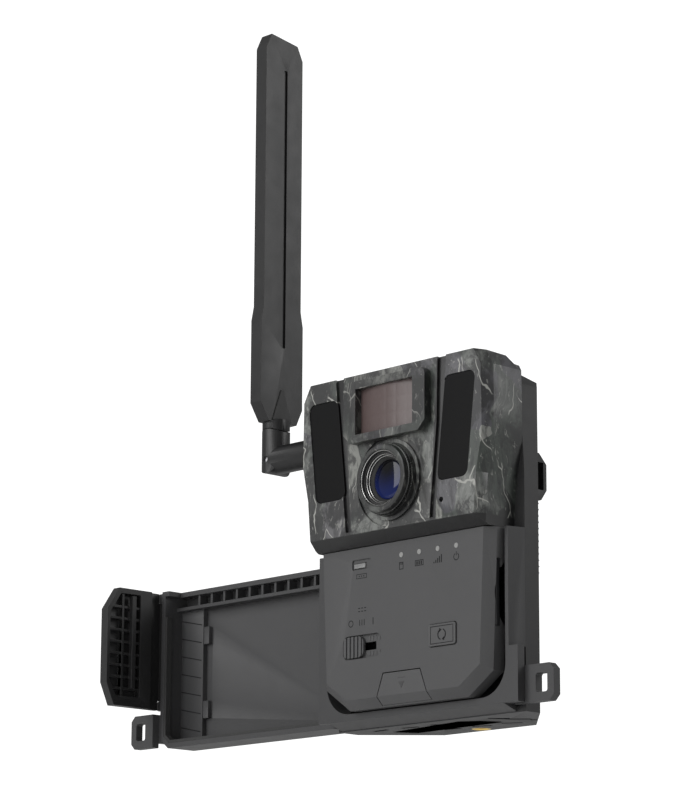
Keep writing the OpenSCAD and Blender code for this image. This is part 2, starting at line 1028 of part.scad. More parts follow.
module bracket_screws() {
    color("silver") placed()
        for (s = bracket_spots) {
            rod_y(s[0], body_depth - 5.2, s[1], 1.15, 7.2);
            screw_head(s[0], body_depth + 2, s[1], 2.6, 1.4);
        }
}

// ---- cartridge ----

function panel_outline() = mirrored([
    [module_hw - 14.8, module_bottom],
    [module_hw - 2.3, module_bottom + 8.5],
    [module_hw, module_top]
]);

// The panel cover's solid, bevelled along the front of its sides and bottom
module panel_form(by, back) {
    outline = inset(panel_outline(), by);
    difference() {
        from_front(face_y + by, back - face_y - by)
            polygon(outline);
        for (i = [0, 1, 3, 4, 5])
            edge_bevel(
                outline, i, face_y + by,
                bevel - 0.8 * by - (i % 2) * bevel_step,
                bevel - 0.8 * by - (i % 2) * bevel_step
            );
    }
}

module tab_shape(by) {
    polygon([
        [-tab_half[0] - by, module_bottom - 2],
        [tab_half[0] + by, module_bottom - 2],
        [tab_half[0] + by, module_bottom + 3.6],
        [tab_half[1] + by, tab_top + by],
        [-tab_half[1] - by, tab_top + by],
        [-tab_half[0] - by, module_bottom + 3.6]
    ]);
}

module panel_cover() {
    color("#555557") placed() difference() {
        union() {
            difference() {
                panel_form(0, case_y + 2);
                panel_form(1.8, case_y + 3);
            }
            intersection() {
                panel_ribs();
                panel_form(0.5, case_y);
            }
        }
        from_front(face_y - 1, tab_back - face_y + 1)
            tab_shape(tab_gap);
        from_front(face_y - 1, 4)
            translate([sync_x, sync_z])
                rounded(sync_w + 0.5, sync_h + 0.5, 1.2);
        from_front(face_y - 1, 1.6)
            translate([format_x, format_z])
                rounded(format_w, format_h, 0.8);
        from_front(face_y - 1, 4)
            translate([format_x - 1.2, format_z - 0.4])
                square([6.4, 2.2], center = true);
        from_front(face_y - 1, 2.1)
            translate([switch_x, switch_z])
                rounded(switch_w, switch_h, 2.6);
        from_front(face_y - 1, 4)
            translate([switch_x, switch_z])
                square([switch_w - 7, 3], center = true);
        for (x = light_xs)
            rod_y(x, face_y - 1, light_z, light_r + 0.05, 4);
        intersection() {
            rod_x(module_hw - 4.6, face_y + bevel - 0.4 + scoop_r, card_z, scoop_r, 8);
            block([0, face_y, card_z - 13], [module_hw + 1, case_y + 3, card_z + 13]);
        }
        both_sides()
            rod_y(boss_x, case_y - 4, boss_z, 0.9, 5);
        block([-case_hw - 0.3, case_y, 0], [case_hw + 0.3, case_y + 3, head_bottom]);
        block([module_hw - 20, card_y - 0.15, card_z - card_w / 2 - 0.2],
              [module_hw + 1, card_y + card_t + 0.15, card_z + card_w / 2 + 0.2]);
    }
}

// Inner walls that back the card scoop and carry the release tab
module panel_ribs() {
    block([module_hw - 6.6, face_y + 1.5, card_z - 14], [module_hw - 1.4, case_y, card_z + 14]);
    block([-14.5, tab_back, module_bottom + 1.4], [14.5, tab_back + 1.2, tab_top + 1.6]);
    both_sides()
        block([boss_x - 1.5, face_y + 1.5, boss_z - 1.5], [boss_x + 1.5, case_y, boss_z + 1.5]);
    block([switch_x - switch_w / 2 - 1, face_y + 1.5, switch_z - switch_h / 2 - 1],
          [switch_x + switch_w / 2 + 1, face_y + 2.3, switch_z + switch_h / 2 + 1]);
}

module battery_case() {
    color("#2e2e30") placed() difference() {
        case_form(0);
        difference() {
            case_form(case_wall);
            both_sides()
                block([boss_x - 1.5, case_y, boss_z - 1.5], [boss_x + 1.5, case_y + 3.4, boss_z + 1.5]);
        }
        for (i = [0 : rows - 1])
            block([-cell_l / 2 + 8, case_y + case_depth - 2, cell_z(i) - 3],
                  [cell_l / 2 - 8, case_y + case_depth + 1, cell_z(i) + 3]);
        both_sides()
            rod_y(boss_x, case_y - 1, boss_z, 0.9, 4);
    }
}

// The case's solid, with its back lower edge cut away over the tripod socket
module case_form(by) {
    intersection() {
        upright(case_bottom + by, case_h - 2 * by)
            polygon(inset(case_outline(), by));
        across(-case_hw, 2 * case_hw)
            polygon(inset([
                [case_y, case_bottom],
                [case_y + case_depth - case_foot, case_bottom],
                [case_y + case_depth, case_bottom + case_foot],
                [case_y + case_depth, case_bottom + case_h],
                [case_y, case_bottom + case_h]
            ], by));
    }
}

function cell_z(i) = case_bottom + case_wall + 0.05 + cell_pitch * (i + 0.5);
function cell_y(j) = case_y + case_wall + 0.05 + cell_pitch * (j + 0.5);

module aa_cells() {
    color("#6b7c4a") placed()
        for (i = [0 : rows - 1], j = [0 : layers - 1]) {
            flip = (i + j) % 2 == 0 ? 1 : -1;
            translate([0, cell_y(j), cell_z(i)])
                rotate([0, flip * 90, 0]) {
                    translate([0, 0, -cell_l / 2])
                        cylinder(h = cell_l - 1, r = cell_d / 2, $fn = 48);
                    translate([0, 0, cell_l / 2 - 1])
                        cylinder(h = 1, r = 2.7, $fn = 32);
                }
        }
}

// Conical springs at each cell's flat end, close wound
module contact_springs() {
    wire = 0.53;
    turns = 4;
    pitch = (case_end - plate_t - 2 * wire) / (turns - 1);
    color("silver") placed()
        for (i = [0 : rows - 1], j = [0 : layers - 1]) {
            flip = (i + j) % 2 == 0 ? 1 : -1;
            translate([-flip * cell_l / 2, cell_y(j), cell_z(i)])
                rotate([0, -flip * 90, 0])
                    rotate_extrude($fn = 48)
                        for (k = [0 : turns - 1])
                            translate([0.155 * cell_d + k * 0.5, wire + k * pitch])
                                circle(wire, $fn = 16);
        }
}

module contact_plates() {
    x0 = cell_l / 2 + case_end - plate_t;
    color("silver") placed()
        for (sx = [-1, 1], i = [0 : rows - 1], j = [0 : layers - 1])
            block([sx > 0 ? x0 : -x0 - plate_t, cell_y(j) - 0.32 * cell_d, cell_z(i) - 0.35 * cell_d],
                  [sx > 0 ? x0 + plate_t : -x0, cell_y(j) + 0.225 * cell_d, cell_z(i) + 0.35 * cell_d]);
}

module control_board() {
    color("#1d5c35") placed()
        block([-34, card_y + card_t + 0.25, 20], [33, case_y, module_top - 3]);
}

module light_guides() {
    color("#d8d8d0") placed()
        for (x = light_xs)
            rod_y(x, face_y - 0.1, light_z, light_r, card_y + card_t + 0.25 - face_y + 0.1);
}

module case_screws() {
    color("silver") placed() both_sides()
        rod_y(boss_x, case_y - 4, boss_z, 0.85, 7);
}

// The memory card's metal cage
module card_socket() {
    color("silver") placed() difference() {
        block([6, card_y - 0.7, card_z - card_w / 2 - 1], [module_hw - 6.8, card_y + card_t + 0.25, card_z + card_w / 2 + 1]);
        block([8, card_y - 0.2, card_z - card_w / 2 - 0.3], [module_hw, card_y + card_t + 0.05, card_z + card_w / 2 + 0.3]);
    }
}

module sd_card() {
    x1 = module_hw - 1.2;
    color("#20262e") placed() difference() {
        block([x1 - card_l, card_y, card_z - card_w / 2], [x1, card_y + card_t - 0.15, card_z + card_w / 2]);
        translate([x1 - card_l, card_y + card_t / 2, card_z + card_w / 2])
            rotate([0, 45, 0])
                cube([5, card_t + 1, 5], center = true);
    }
}

module mode_switch() {
    x0 = switch_x - switch_w / 2 + 0.4;
    color("#444446") placed() union() {
        intersection() {
            union() {
                block([x0, face_y - 0.2, switch_z - switch_h / 2 + 0.5],
                      [x0 + slider_w, face_y + 0.9, switch_z + switch_h / 2 - 0.5]);
                for (i = [0 : 4])
                    block([x0 + 0.8 + i * 2, face_y - 0.7, switch_z - switch_h / 2 + 0.5],
                          [x0 + 1.8 + i * 2, face_y, switch_z + switch_h / 2 - 0.5]);
            }
            from_front(face_y - 1, 3)
                translate([x0 + slider_w / 2, switch_z])
                    rounded(slider_w, switch_h - 1, 2.4);
        }
        block([x0 + 3.2, face_y + 0.8, switch_z - 1.2], [x0 + 6.2, face_y + 5, switch_z + 1.2]);
    }
}

module sync_button() {
    color("#555557") placed() union() {
        from_front(face_y - 0.6, 3)
            translate([sync_x, sync_z])
                rounded(sync_w, sync_h, 1);
        from_front(face_y + 1.9, 0.5)
            translate([sync_x, sync_z])
                square([sync_w + 2, sync_h + 2], center = true);
    }
}

module format_button() {
    color("#8a8a8c") placed() union() {
        from_front(face_y + 0.1, 2.9)
            translate([format_x - 1.2, format_z - 0.4])
                square([6, 1.8], center = true);
        from_front(face_y + 2.2, 0.8)
            translate([format_x - 1.2, format_z - 0.4])
                square([8, 4], center = true);
    }
}

// The catch that frees the cartridge, flush with the panel's face and bevel
module release_tab() {
    color("#505052") placed() intersection() {
        panel_form(0, case_y);
        from_front(face_y, tab_back - face_y - 0.3)
            tab_shape(0);
    }
}

// ---- door ----

function door_outline() = [
    [door_left + 3, door_z0],
    [door_right - 5, door_z0],
    [door_right, door_z0 + 4],
    [door_right, door_z1],
    [door_left, door_z1],
    [door_left, door_z0 + 3]
];

// The cut that leaves the door's top wall just clear of the panel
module door_top_step() {
    block([1 - bay_hw - 3, door_top_y, rib_wall_z - 3], [bay_hw + 2, door_rim_y + 1, door_z1 + 1]);
}

module door_shell() {
    color("#4c4c4e") placed() opened() difference() {
        union() {
            difference() {
                from_front(-door_proud, door_rim_y + door_proud)
                    polygon(door_outline());
                from_front(door_floor - door_proud, door_rim_y + door_proud)
                    polygon(inset(door_outline(), door_wall));
            }
            block([door_left + 1, door_floor - door_proud - 1, rib_wall_z], [door_right - 1, door_top_y, rib_wall_z + 1.4]);
            for (x = [door_left + 6 : rib_pitch : door_right - 10])
                block([x, door_floor - door_proud - 1, rib_wall_z], [x + 1.2, door_top_y - 0.8, door_z1 - 1]);
            block([door_right - 15, door_floor - door_proud - 1, door_z0 + 1], [door_right - 1, door_floor - door_proud + 2.4, rib_wall_z]);
            for (z = [14, 44])
                block([door_right - 18, door_floor - door_proud - 1, z], [door_right - 14, door_floor - door_proud + 2, z + 7]);
            for (z = knuckle_zs)
                door_knuckle(z + 0.3);
            latch_lugs();
            door_ear();
        }
        door_top_step();
        for (z = knuckle_zs)
            rod_z(hinge_x, hinge_y, z + 0.2, hinge_pin_r, knuckle_l - 1);
        rod_z(latch_x, latch_y, latch_z0 + 0.6, hinge_pin_r, latch_h);
    }
}

// A knuckle that reaches back from the door's left wall to the hinge axis
module door_knuckle(z) {
    rod_z(hinge_x, hinge_y, z, knuckle_r, knuckle_l - 2);
    block([door_left, door_rim_y - 3, z], [door_left + 1.4, hinge_y, z + knuckle_l - 2]);
    block([door_left, hinge_y - 1, z], [hinge_x, hinge_y + 0.4, z + knuckle_l - 2]);
}

module latch_lugs() {
    for (z = [latch_z0, latch_z0 + latch_h - latch_lug]) {
        rod_z(latch_x, latch_y, z, latch_t / 2, latch_lug);
        block([door_right - 1, latch_y - latch_t / 2, z], [latch_x, latch_y + latch_t / 2, z + latch_lug]);
    }
}

// The door's padlock ear, which meets the frame's ear when the door is shut
module door_ear() {
    padlock_ear(ear_y - fit_gap - ear_t, door_right + fit_gap);
    block([door_right - 1, 3, ear_z0 + 2], [door_right + 2.2, door_rim_y, ear_z0 + ear_h]);
    block([door_right + fit_gap, 6, ear_z0 + 2], [door_right + 2.2, ear_y - 1, ear_z0 + ear_h]);
}

module door_gasket() {
    t = 1.2;
    color("#262626") placed() opened() from_front(door_rim_y - 2.8, 2.6)
        difference() {
            polygon(inset(door_outline(), door_wall));
            polygon(inset(door_outline(), door_wall + t));
            translate([door_left, rib_wall_z - 3])
                square([2 * head_w, 30]);
        }
}

module hinge_pins() {
    color("silver") placed()
        for (z = knuckle_zs)
            rod_z(hinge_x, hinge_y, z - knuckle_l + 1, hinge_pin_r, 2 * knuckle_l - 3);
}

// The latch, drawn shut: a ribbed hollow plate with a round root and a hooked tip
module door_latch() {
    z0 = latch_z0;
    z1 = latch_z0 + latch_h;
    inner = latch_x - latch_t / 2;
    outer = latch_x + latch_t / 2;
    tip = latch_y + latch_l;
    y_grid = latch_y + 14;
    color("#434345") placed() opened() difference() {
        union() {
            difference() {
                across(inner, latch_t)
                    polygon([
                        [latch_y, z0],
                        [tip - 4, z0],
                        [tip, z0 + 9],
                        [tip, z1 - 9],
                        [tip - 6, z1],
                        [latch_y, z1]
                    ]);
                block([inner - 1, latch_y - 1, z0 - 1], [latch_x, latch_y + 8, z1 + 1]);
                across(inner - 1, latch_t - 0.4)
                    polygon([
                        [y_grid, z0 + 4],
                        [tip - 5, z0 + 4],
                        [tip - 1.6, z0 + 10],
                        [tip - 1.6, z1 - 10],
                        [tip - 7, z1 - 2.2],
                        [y_grid, z1 - 2.2]
                    ]);
            }
            latch_ribs(inner, y_grid, tip);
            block([inner - 1.1, latch_y + 17, ear_base_z + 2], [inner + 1, latch_y + 19, z1 - 3]);
            rod_z(latch_x, latch_y, z0 + latch_lug + 0.3, latch_t / 2, latch_h - 2 * latch_lug - 0.6);
        }
        rod_z(latch_x, latch_y, z0 - 1, hinge_pin_r + pin_gap, latch_h + 2);
        for (z = [z0 - 1, z1 - latch_lug - 0.3])
            block([inner - 1, latch_y - 4, z], [outer + 1, latch_y + latch_t / 2 + 0.5, z + latch_lug + 1.3]);
    }
}

// The grid of stiffening ribs in the latch's hollow
module latch_ribs(inner, y_grid, tip) {
    for (z = [latch_z0 + 6.5 : latch_rib_pitch : latch_z0 + latch_h - 6])
        block([inner + 0.7, y_grid - 0.5, z], [inner + latch_t - 1, tip - 2, z + 1.1]);
    block([inner + 0.5, y_grid + 8, latch_z0 + 3], [inner + latch_t - 1, y_grid + 9.2, latch_z0 + latch_h - 2]);
}

module latch_pin() {
    color("silver") placed() opened()
        rod_z(latch_x, latch_y, latch_z0 + 0.6, hinge_pin_r, latch_h - 1);
}

// ---- antenna ----

// The elbow: a level sleeve on the socket and an upright knuckle round the folding axis
module antenna_elbow() {
    color("#3a3a3c") placed() difference() {
        union() {
            rod_x(antenna_x, antenna_y, antenna_z, elbow_r, antenna_reach - 0.4);
            intersection() {
                rod_z(antenna_x, antenna_y, antenna_z - 8, elbow_r, 8 + knuckle_top);
                union() {
                    translate([antenna_x, antenna_y - 10, antenna_z])
                        rotate([-90, 0, 0])
                            cylinder(h = 20, r = elbow_r, $fn = 64);
                    intersection() {
                        block([antenna_x - 8, antenna_y - 8, antenna_z], [antenna_x + 8, antenna_y + 8, antenna_z + 20]);
                        rod_y(antenna_x, antenna_y - 10, antenna_z, knuckle_top, 20);
                    }
                }
            }
        }
        rod_x(-hw - 9.4, antenna_y, antenna_z, socket_r + 0.05, 20);
        block([antenna_x - 20, antenna_y - tongue_t / 2 - 0.15, antenna_z - 4.8],
              [antenna_x + 4.8, antenna_y + tongue_t / 2 + 0.15, antenna_z + 20]);
        rod_y(antenna_x, antenna_y - 10, antenna_z, antenna_pin_r, 20);
    }
}

module antenna_pin() {
    color("silver") placed()
        rod_y(antenna_x, antenna_y - elbow_r + 0.9, antenna_z, antenna_pin_r, 2 * elbow_r - 1.8);
}

// The blade's broad side view: straight sides, chamfered shoulders and a narrowed top
module blade_side(by) {
    polygon(inset([
        [-blade_w / 2 + 4.4, 0],
        [blade_w / 2 - 3, 0],
        [blade_w / 2, 6.5],
        [blade_w / 2, 40],
        [blade_w / 2 - 1.2, 46],
        [blade_w / 2 - 1.2, blade_l - 8],
        [blade_w / 2 - 4, blade_l - 2.2],
        [4 - blade_w / 2, blade_l],
        [1.2 - blade_w / 2, blade_l - 6],
        [1.2 - blade_w / 2, 46],
        [-blade_w / 2, 40],
        [-blade_w / 2, 7]
    ], by));
}

module antenna_blade() {
    color("#333335") placed() difference() {
        union() {
            translate([antenna_x, antenna_y, blade_z0])
                difference() {
                    across(-blade_t / 2, blade_t)
                        blade_side(0);
                    across(blade_t / 2 - 0.8, 2)
                        translate([0, 30])
                            square([1.6, blade_l - 44]);
                }
            difference() {
                rod_z(antenna_x, antenna_y, antenna_z + 6, elbow_r - 0.1, blade_z0 - antenna_z - 5);
                rod_y(antenna_x, antenna_y - 10, antenna_z, knuckle_top + 0.3, 20);
            }
            rod_y(antenna_x, antenna_y - tongue_t / 2, antenna_z, 4.4, tongue_t);
            block([antenna_x - 3.6, antenna_y - tongue_t / 2, antenna_z],
                  [antenna_x + 3.6, antenna_y + tongue_t / 2, blade_z0]);
        }
        rod_y(antenna_x, antenna_y - 10, antenna_z, antenna_pin_r + pin_gap, 20);
        translate([antenna_x, antenna_y, blade_z0])
            across(-1.2, 2.4)
                blade_side(3);
    }
}

// The radiating strip inside the blade
module antenna_element() {
    color("#1d5c35") placed() translate([antenna_x, antenna_y, blade_z0])
        across(-1.2, 1)
            blade_side(3.1);
}

front_shell();
rear_shell();
bay_frame();
shell_gasket();
shell_screws();
frame_screws();
lens_bezel();
lens_glass();
lens_barrel();
lens_holder();
sensor_board();
ir_cut_filter();
pir_frame();
pir_lens();
pir_sensor();
ir_window_left();
ir_window_right();
led_board_left();
led_board_right();
ir_leds();
microphone();
main_board();
board_screws();
cellular_module();
antenna_socket();
coax_pigtail();
bay_contacts();
tripod_insert();
tree_bracket();
bracket_screws();
panel_cover();
battery_case();
aa_cells();
contact_springs();
contact_plates();
control_board();
light_guides();
case_screws();
card_socket();
sd_card();
mode_switch();
sync_button();
format_button();
release_tab();
door_shell();
door_gasket();
hinge_pins();
door_latch();
latch_pin();
antenna_elbow();
antenna_pin();
antenna_blade();
antenna_element();
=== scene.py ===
"""Visual model of a trail camera: camouflaged head, battery cartridge, open door and folding antenna.

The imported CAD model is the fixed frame. Casing pieces get softened edges and moulded finishes, and the
lens, motion sensor window, printed marks and small trim are modelled here.
"""

import logging
import math
from collections.abc import Callable, Sequence
from dataclasses import dataclass
from enum import Enum
from typing import Any

import bmesh
import bpy
from mathutils import Matrix, Vector


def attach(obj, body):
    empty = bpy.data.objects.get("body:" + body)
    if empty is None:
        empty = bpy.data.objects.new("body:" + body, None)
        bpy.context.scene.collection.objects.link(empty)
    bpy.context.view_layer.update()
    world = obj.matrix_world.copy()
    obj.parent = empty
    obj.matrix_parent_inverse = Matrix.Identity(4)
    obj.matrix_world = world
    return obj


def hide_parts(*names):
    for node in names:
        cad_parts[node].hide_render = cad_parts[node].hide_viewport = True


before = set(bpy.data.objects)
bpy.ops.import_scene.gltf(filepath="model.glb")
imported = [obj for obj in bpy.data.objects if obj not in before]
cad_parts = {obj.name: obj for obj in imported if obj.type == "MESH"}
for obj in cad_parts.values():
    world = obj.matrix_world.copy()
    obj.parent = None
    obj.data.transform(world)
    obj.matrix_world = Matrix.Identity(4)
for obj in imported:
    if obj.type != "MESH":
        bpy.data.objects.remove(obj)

LOG = logging.getLogger("trail_camera")
MM = 0.001
TRIPOD_Y = 48.0
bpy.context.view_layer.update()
FULL_TURN = 2 * math.pi
MIX_FACTOR, MIX_A, MIX_B, MIX_RESULT = 0, 6, 7, 2
Color = tuple[float, float, float]
Profile = Sequence[tuple[float, float]]
Mesh = bmesh.types.BMesh
Socket = bpy.types.NodeSocket


class Body(Enum):
    """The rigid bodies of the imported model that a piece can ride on."""

    CAMERA = "camera_body"
    CARTRIDGE = "cartridge"
    CARD = "card"
    MODE = "mode_slider"
    SYNC = "sync"
    FORMAT = "format"
    RELEASE = "release"
    FILTER = "filter"
    DOOR = "door"
    LATCH = "latch"
    ELBOW = "elbow"
    BLADE = "blade"


class Axis(Enum):
    """A row axis that a turned piece spins about."""

    X = (1.0, 0.0, 0.0)
    Y = (0.0, 1.0, 0.0)
    Z = (0.0, 0.0, 1.0)


def spot(x: float, y: float, z: float) -> Vector:
    """A point of the row frame in metres, from millimetres right, behind the head's front and above the base.

    Args:
        x: Millimetres to the right of the middle.
        y: Millimetres behind the head's front face.
        z: Millimetres above the base.

    Returns:
        The point in metres.
    """
    return Vector((x, y - TRIPOD_Y, z)) * MM


# ---------------------------------------------------------------- node trees


class Tree:
    """Adds nodes to one shader tree and links them."""

    def __init__(self, tree: bpy.types.NodeTree) -> None:
        """Keeps the tree that nodes are added to."""
        self.tree = tree

    def add(self, kind: str, inputs: dict[str | int, Any] | None = None, **settings: Any) -> bpy.types.Node:
        """Adds a node.

        Args:
            kind: The node's type name.
            inputs: Sockets or plain values for its inputs, by name or index.
            **settings: Attributes set on the node.

        Returns:
            The new node.
        """
        node = self.tree.nodes.new(kind)
        for key, value in settings.items():
            setattr(node, key, value)
        for key, value in (inputs or {}).items():
            socket = node.inputs[key]
            if isinstance(value, Socket):
                self.tree.links.new(value, socket)
            else:
                socket.default_value = (*value, 1.0) if _is_color(socket, value) else value
        return node

    def group(self, tree: bpy.types.NodeTree, inputs: dict[str | int, Any]) -> Any:
        """The outputs of a node group placed in the tree."""
        return self.add("ShaderNodeGroup", inputs, node_tree=tree).outputs

    def vector(self, operation: str, inputs: dict[str | int, Any], output: str = "Vector") -> Socket:
        """An output of a Vector Math node."""
        return self.add("ShaderNodeVectorMath", inputs, operation=operation).outputs[output]

    def math(self, operation: str, a: Any, b: Any = 0.0, clamp: bool = False) -> Socket:
        """The output of a Math node on two values."""
        return self.add("ShaderNodeMath", {0: a, 1: b}, operation=operation, use_clamp=clamp).outputs[0]

    def mix(self, factor: Any, a: Any, b: Any, mode: str = "MIX") -> Socket:
        """The output of a Mix node on two colours."""
        inputs = {MIX_FACTOR: factor, MIX_A: a, MIX_B: b}
        return self.add("ShaderNodeMix", inputs, data_type="RGBA", blend_type=mode).outputs[MIX_RESULT]

    def noise(self, vector: Any, scale: Any, detail: float = 3.0, roughness: float = 0.5) -> Socket:
        """The value of a Noise texture."""
        inputs = {"Vector": vector, "Scale": scale, "Detail": detail, "Roughness": roughness}
        return self.add("ShaderNodeTexNoise", inputs).outputs["Fac"]

    def band(self, value: Any, low: float, high: float) -> Socket:
        """A smooth step of value, from 0 at low to 1 at high."""
        inputs = {"Value": value, "From Min": low, "From Max": high}
        return self.add("ShaderNodeMapRange", inputs, interpolation_type="SMOOTHSTEP").outputs["Result"]

    def stretched(self, vector: Any, scale: Sequence[float], turn: Sequence[float] = (0.0, 0.0, 0.0)) -> Any:
        """A vector through a Mapping node."""
        inputs = {"Vector": vector, "Scale": tuple(scale), "Rotation": tuple(turn)}
        return self.add("ShaderNodeMapping", inputs).outputs["Vector"]


def _is_color(socket: Socket, value: Any) -> bool:
    """True where a three-part value goes to a colour socket."""
    return socket.type == "RGBA" and len(value) == 3


def shader_group(name: str, inputs: dict[str, Any], outputs: dict[str, str],
                 fill: Callable[[Tree, Any], dict[str, Any]]) -> bpy.types.NodeTree:
    """Makes a shader node group once.

    Args:
        name: The group's name.
        inputs: Input names with their default values: a number, a colour or None for a vector.
        outputs: Output names with their socket types.
        fill: Adds the group's nodes and returns the socket for each output.

    Returns:
        The group's node tree.
    """
    if name in bpy.data.node_groups:
        return bpy.data.node_groups[name]
    group = bpy.data.node_groups.new(name, "ShaderNodeTree")
    for key, value in inputs.items():
        kind = "NodeSocketVector" if value is None else "NodeSocketFloat"
        kind = "NodeSocketColor" if isinstance(value, tuple) else kind
        socket = group.interface.new_socket(name=key, in_out="INPUT", socket_type=kind)
        if value is not None:
            socket.default_value = (*value, 1.0) if isinstance(value, tuple) else value
    for key, kind in outputs.items():
        group.interface.new_socket(name=key, in_out="OUTPUT", socket_type=kind)
    tree = Tree(group)
    results = fill(tree, tree.add("NodeGroupInput").outputs)
    sink = tree.add("NodeGroupOutput")
    for key, socket in results.items():
        group.links.new(socket, sink.inputs[key])
    return group


FLOAT, COLOR = "NodeSocketFloat", "NodeSocketColor"


def mould_grain() -> bpy.types.NodeTree:
    """The spark-eroded grain and faint shade of moulded plastic.

    Returns:
        The shader node group.
    """

    def fill(t: Tree, given: Any) -> dict[str, Any]:
        """Adds the group's nodes.

        Args:
            t: The group's tree.
            given: The group's inputs.

        Returns:
            The socket for each output.
        """
        cloud = t.noise(given["Vector"], 38.0, 4.0, 0.55)
        grain = t.noise(given["Vector"], given["Grain Scale"], 2.0, 0.6)
        rub = t.noise(given["Vector"], 160.0, 5.0, 0.62)
        spread = t.math("MULTIPLY", t.math("SUBTRACT", cloud, 0.5), given["Variation"])
        speckle = t.math("MULTIPLY", t.math("SUBTRACT", grain, 0.5), 0.1)
        bright = t.math("ADD", 1.0, t.math("ADD", spread, speckle))
        color = t.vector("MULTIPLY", {0: given["Color"], 1: bright})
        worn = t.math("MULTIPLY", t.math("SUBTRACT", rub, 0.5), 0.16)
        rough = t.math("ADD", given["Roughness"], worn, True)
        return {"Color": color, "Roughness": rough, "Height": grain}

    return shader_group(
        "mould_grain",
        {
            "Vector": None, "Color": (0.1, 0.1, 0.1), "Grain Scale": 2600.0, "Variation": 0.25,
            "Roughness": 0.5,
        },
        {"Color": COLOR, "Roughness": FLOAT, "Height": FLOAT}, fill,
    )


def bark_print() -> bpy.types.NodeTree:
    """A camouflage print of bark, leaves and twigs.

    Returns:
        The shader node group.
    """

    def fill(t: Tree, given: Any) -> dict[str, Any]:
        """Adds the group's nodes.

        Args:
            t: The group's tree.
            given: The group's inputs.

        Returns:
            The socket for each output.
        """
        place = given["Vector"]
        sway = t.add("ShaderNodeTexNoise", {"Vector": place, "Scale": 30.0, "Detail": 4.0}).outputs["Color"]
        offset = t.vector("SUBTRACT", {0: sway, 1: (0.5, 0.5, 0.5)})
        push = t.vector("SCALE", {0: offset, "Scale": 0.024})
        warped = t.vector("ADD", {0: place, 1: push})
        base = t.mix(t.band(t.noise(warped, 30.0, 2.0), 0.44, 0.54), given["Moss"], given["Stone"])
        oval = t.stretched(warped, (1, 1, 0.55), (0, 0.6, 0))
        leaf = t.add("ShaderNodeTexVoronoi", {"Vector": oval, "Scale": 70.0}).outputs
        pick = t.add("ShaderNodeSeparateColor", {0: leaf["Color"]}).outputs
        leafed = t.math("MULTIPLY", t.band(pick[0], 0.62, 0.66), t.band(leaf["Distance"], 0.6, 0.5))
        base = t.mix(t.math("MULTIPLY", leafed, 0.8), base, given["Leaf"])
        fallen = t.math("MULTIPLY", t.band(pick[1], 0.7, 0.74), t.band(leaf["Distance"], 0.62, 0.54))
        base = t.mix(t.math("MULTIPLY", fallen, 0.7), base, given["Dusk"])
        streaks = t.noise(t.stretched(warped, (10, 10, 1.0), (0, 0.3, 0)), 40.0, 6.0, 0.7)
        base = t.mix(t.math("MULTIPLY", t.band(streaks, 0.44, 0.62), 0.62), base, given["Bark"])
        shade = t.band(t.noise(t.stretched(warped, (1.3, 1.3, 0.8)), 50.0, 6.0, 0.68), 0.46, 0.54)
        base = t.mix(t.math("MULTIPLY", shade, 0.86), base, given["Bark"])
        for scale, turn, thin in ((26.0, 0.9, 0.008), (44.0, -0.5, 0.011)):
            web = {"Vector": t.stretched(warped, (1.3, 1.3, 0.6), (0, turn, 0)), "Scale": scale}
            cells = t.add("ShaderNodeTexVoronoi", web, feature="DISTANCE_TO_EDGE").outputs["Distance"]
            live = t.band(t.noise(t.stretched(place, (1, 1, 1), (0, 0, turn)), 60.0, 1.0), 0.52, 0.56)
            line = t.math("MULTIPLY", t.band(cells, thin, 0.4 * thin), live)
            base = t.mix(t.math("MULTIPLY", line, 0.8), base, given["Twig"])
        fleck = t.band(t.noise(t.stretched(warped, (5, 5, 1), (0, -0.4, 0)), 170.0, 4.0, 0.65), 0.6, 0.66)
        base = t.mix(t.math("MULTIPLY", fleck, 0.4), base, given["Twig"])
        return {"Color": base, "Height": t.math("ADD", streaks, line)}

    return shader_group(
        "bark_print",
        {
            "Vector": None, "Moss": (0.03, 0.036, 0.031), "Stone": (0.115, 0.12, 0.112),
            "Dusk": (0.042, 0.039, 0.05), "Leaf": (0.17, 0.172, 0.158), "Bark": (0.0045, 0.0045, 0.005),
            "Twig": (0.27, 0.27, 0.25),
        },
        {"Color": COLOR, "Height": FLOAT}, fill,
    )


def crease_shade() -> bpy.types.NodeTree:
    """Painted shade on the lip under the head and in dark bands down its two creases.

    Returns:
        The shader node group.
    """

    def fill(t: Tree, given: Any) -> dict[str, Any]:
        """Adds the group's nodes.

        Args:
            t: The group's tree.
            given: The group's inputs.

        Returns:
            The socket for each output.
        """
        x, _, z = t.add("ShaderNodeSeparateXYZ", {0: given["Vector"]}).outputs
        rough = t.noise(given["Vector"], 260.0, 3.0)
        ragged = t.math("MULTIPLY", t.math("SUBTRACT", rough, 0.5), 0.002)
        # painted shade: the lip under the head and bands down the two creases go dark where this is 0
        lip = t.band(t.math("ADD", z, t.math("MULTIPLY", ragged, 0.4)), given["Lip"], 0.0703)
        above = t.math("SUBTRACT", z, 0.071)
        lean = t.math("ADD", given["Foot"], t.math("MULTIPLY", above, given["Lean"]))
        away = t.math("ABSOLUTE", t.math("SUBTRACT", t.math("ADD", t.math("ABSOLUTE", x), ragged), lean))
        reach = t.math("ADD", 0.0016, t.math("MULTIPLY", above, 0.014))
        edge = t.math("DIVIDE", away, reach)
        return {"Unshaded": t.math("MULTIPLY", lip, t.band(edge, 0.75, 1.1))}

    inputs = {"Vector": None, "Lip": 0.0697, "Foot": 0.02195, "Lean": 0.0836}
    return shader_group("crease_shade", inputs, {"Unshaded": FLOAT}, fill)


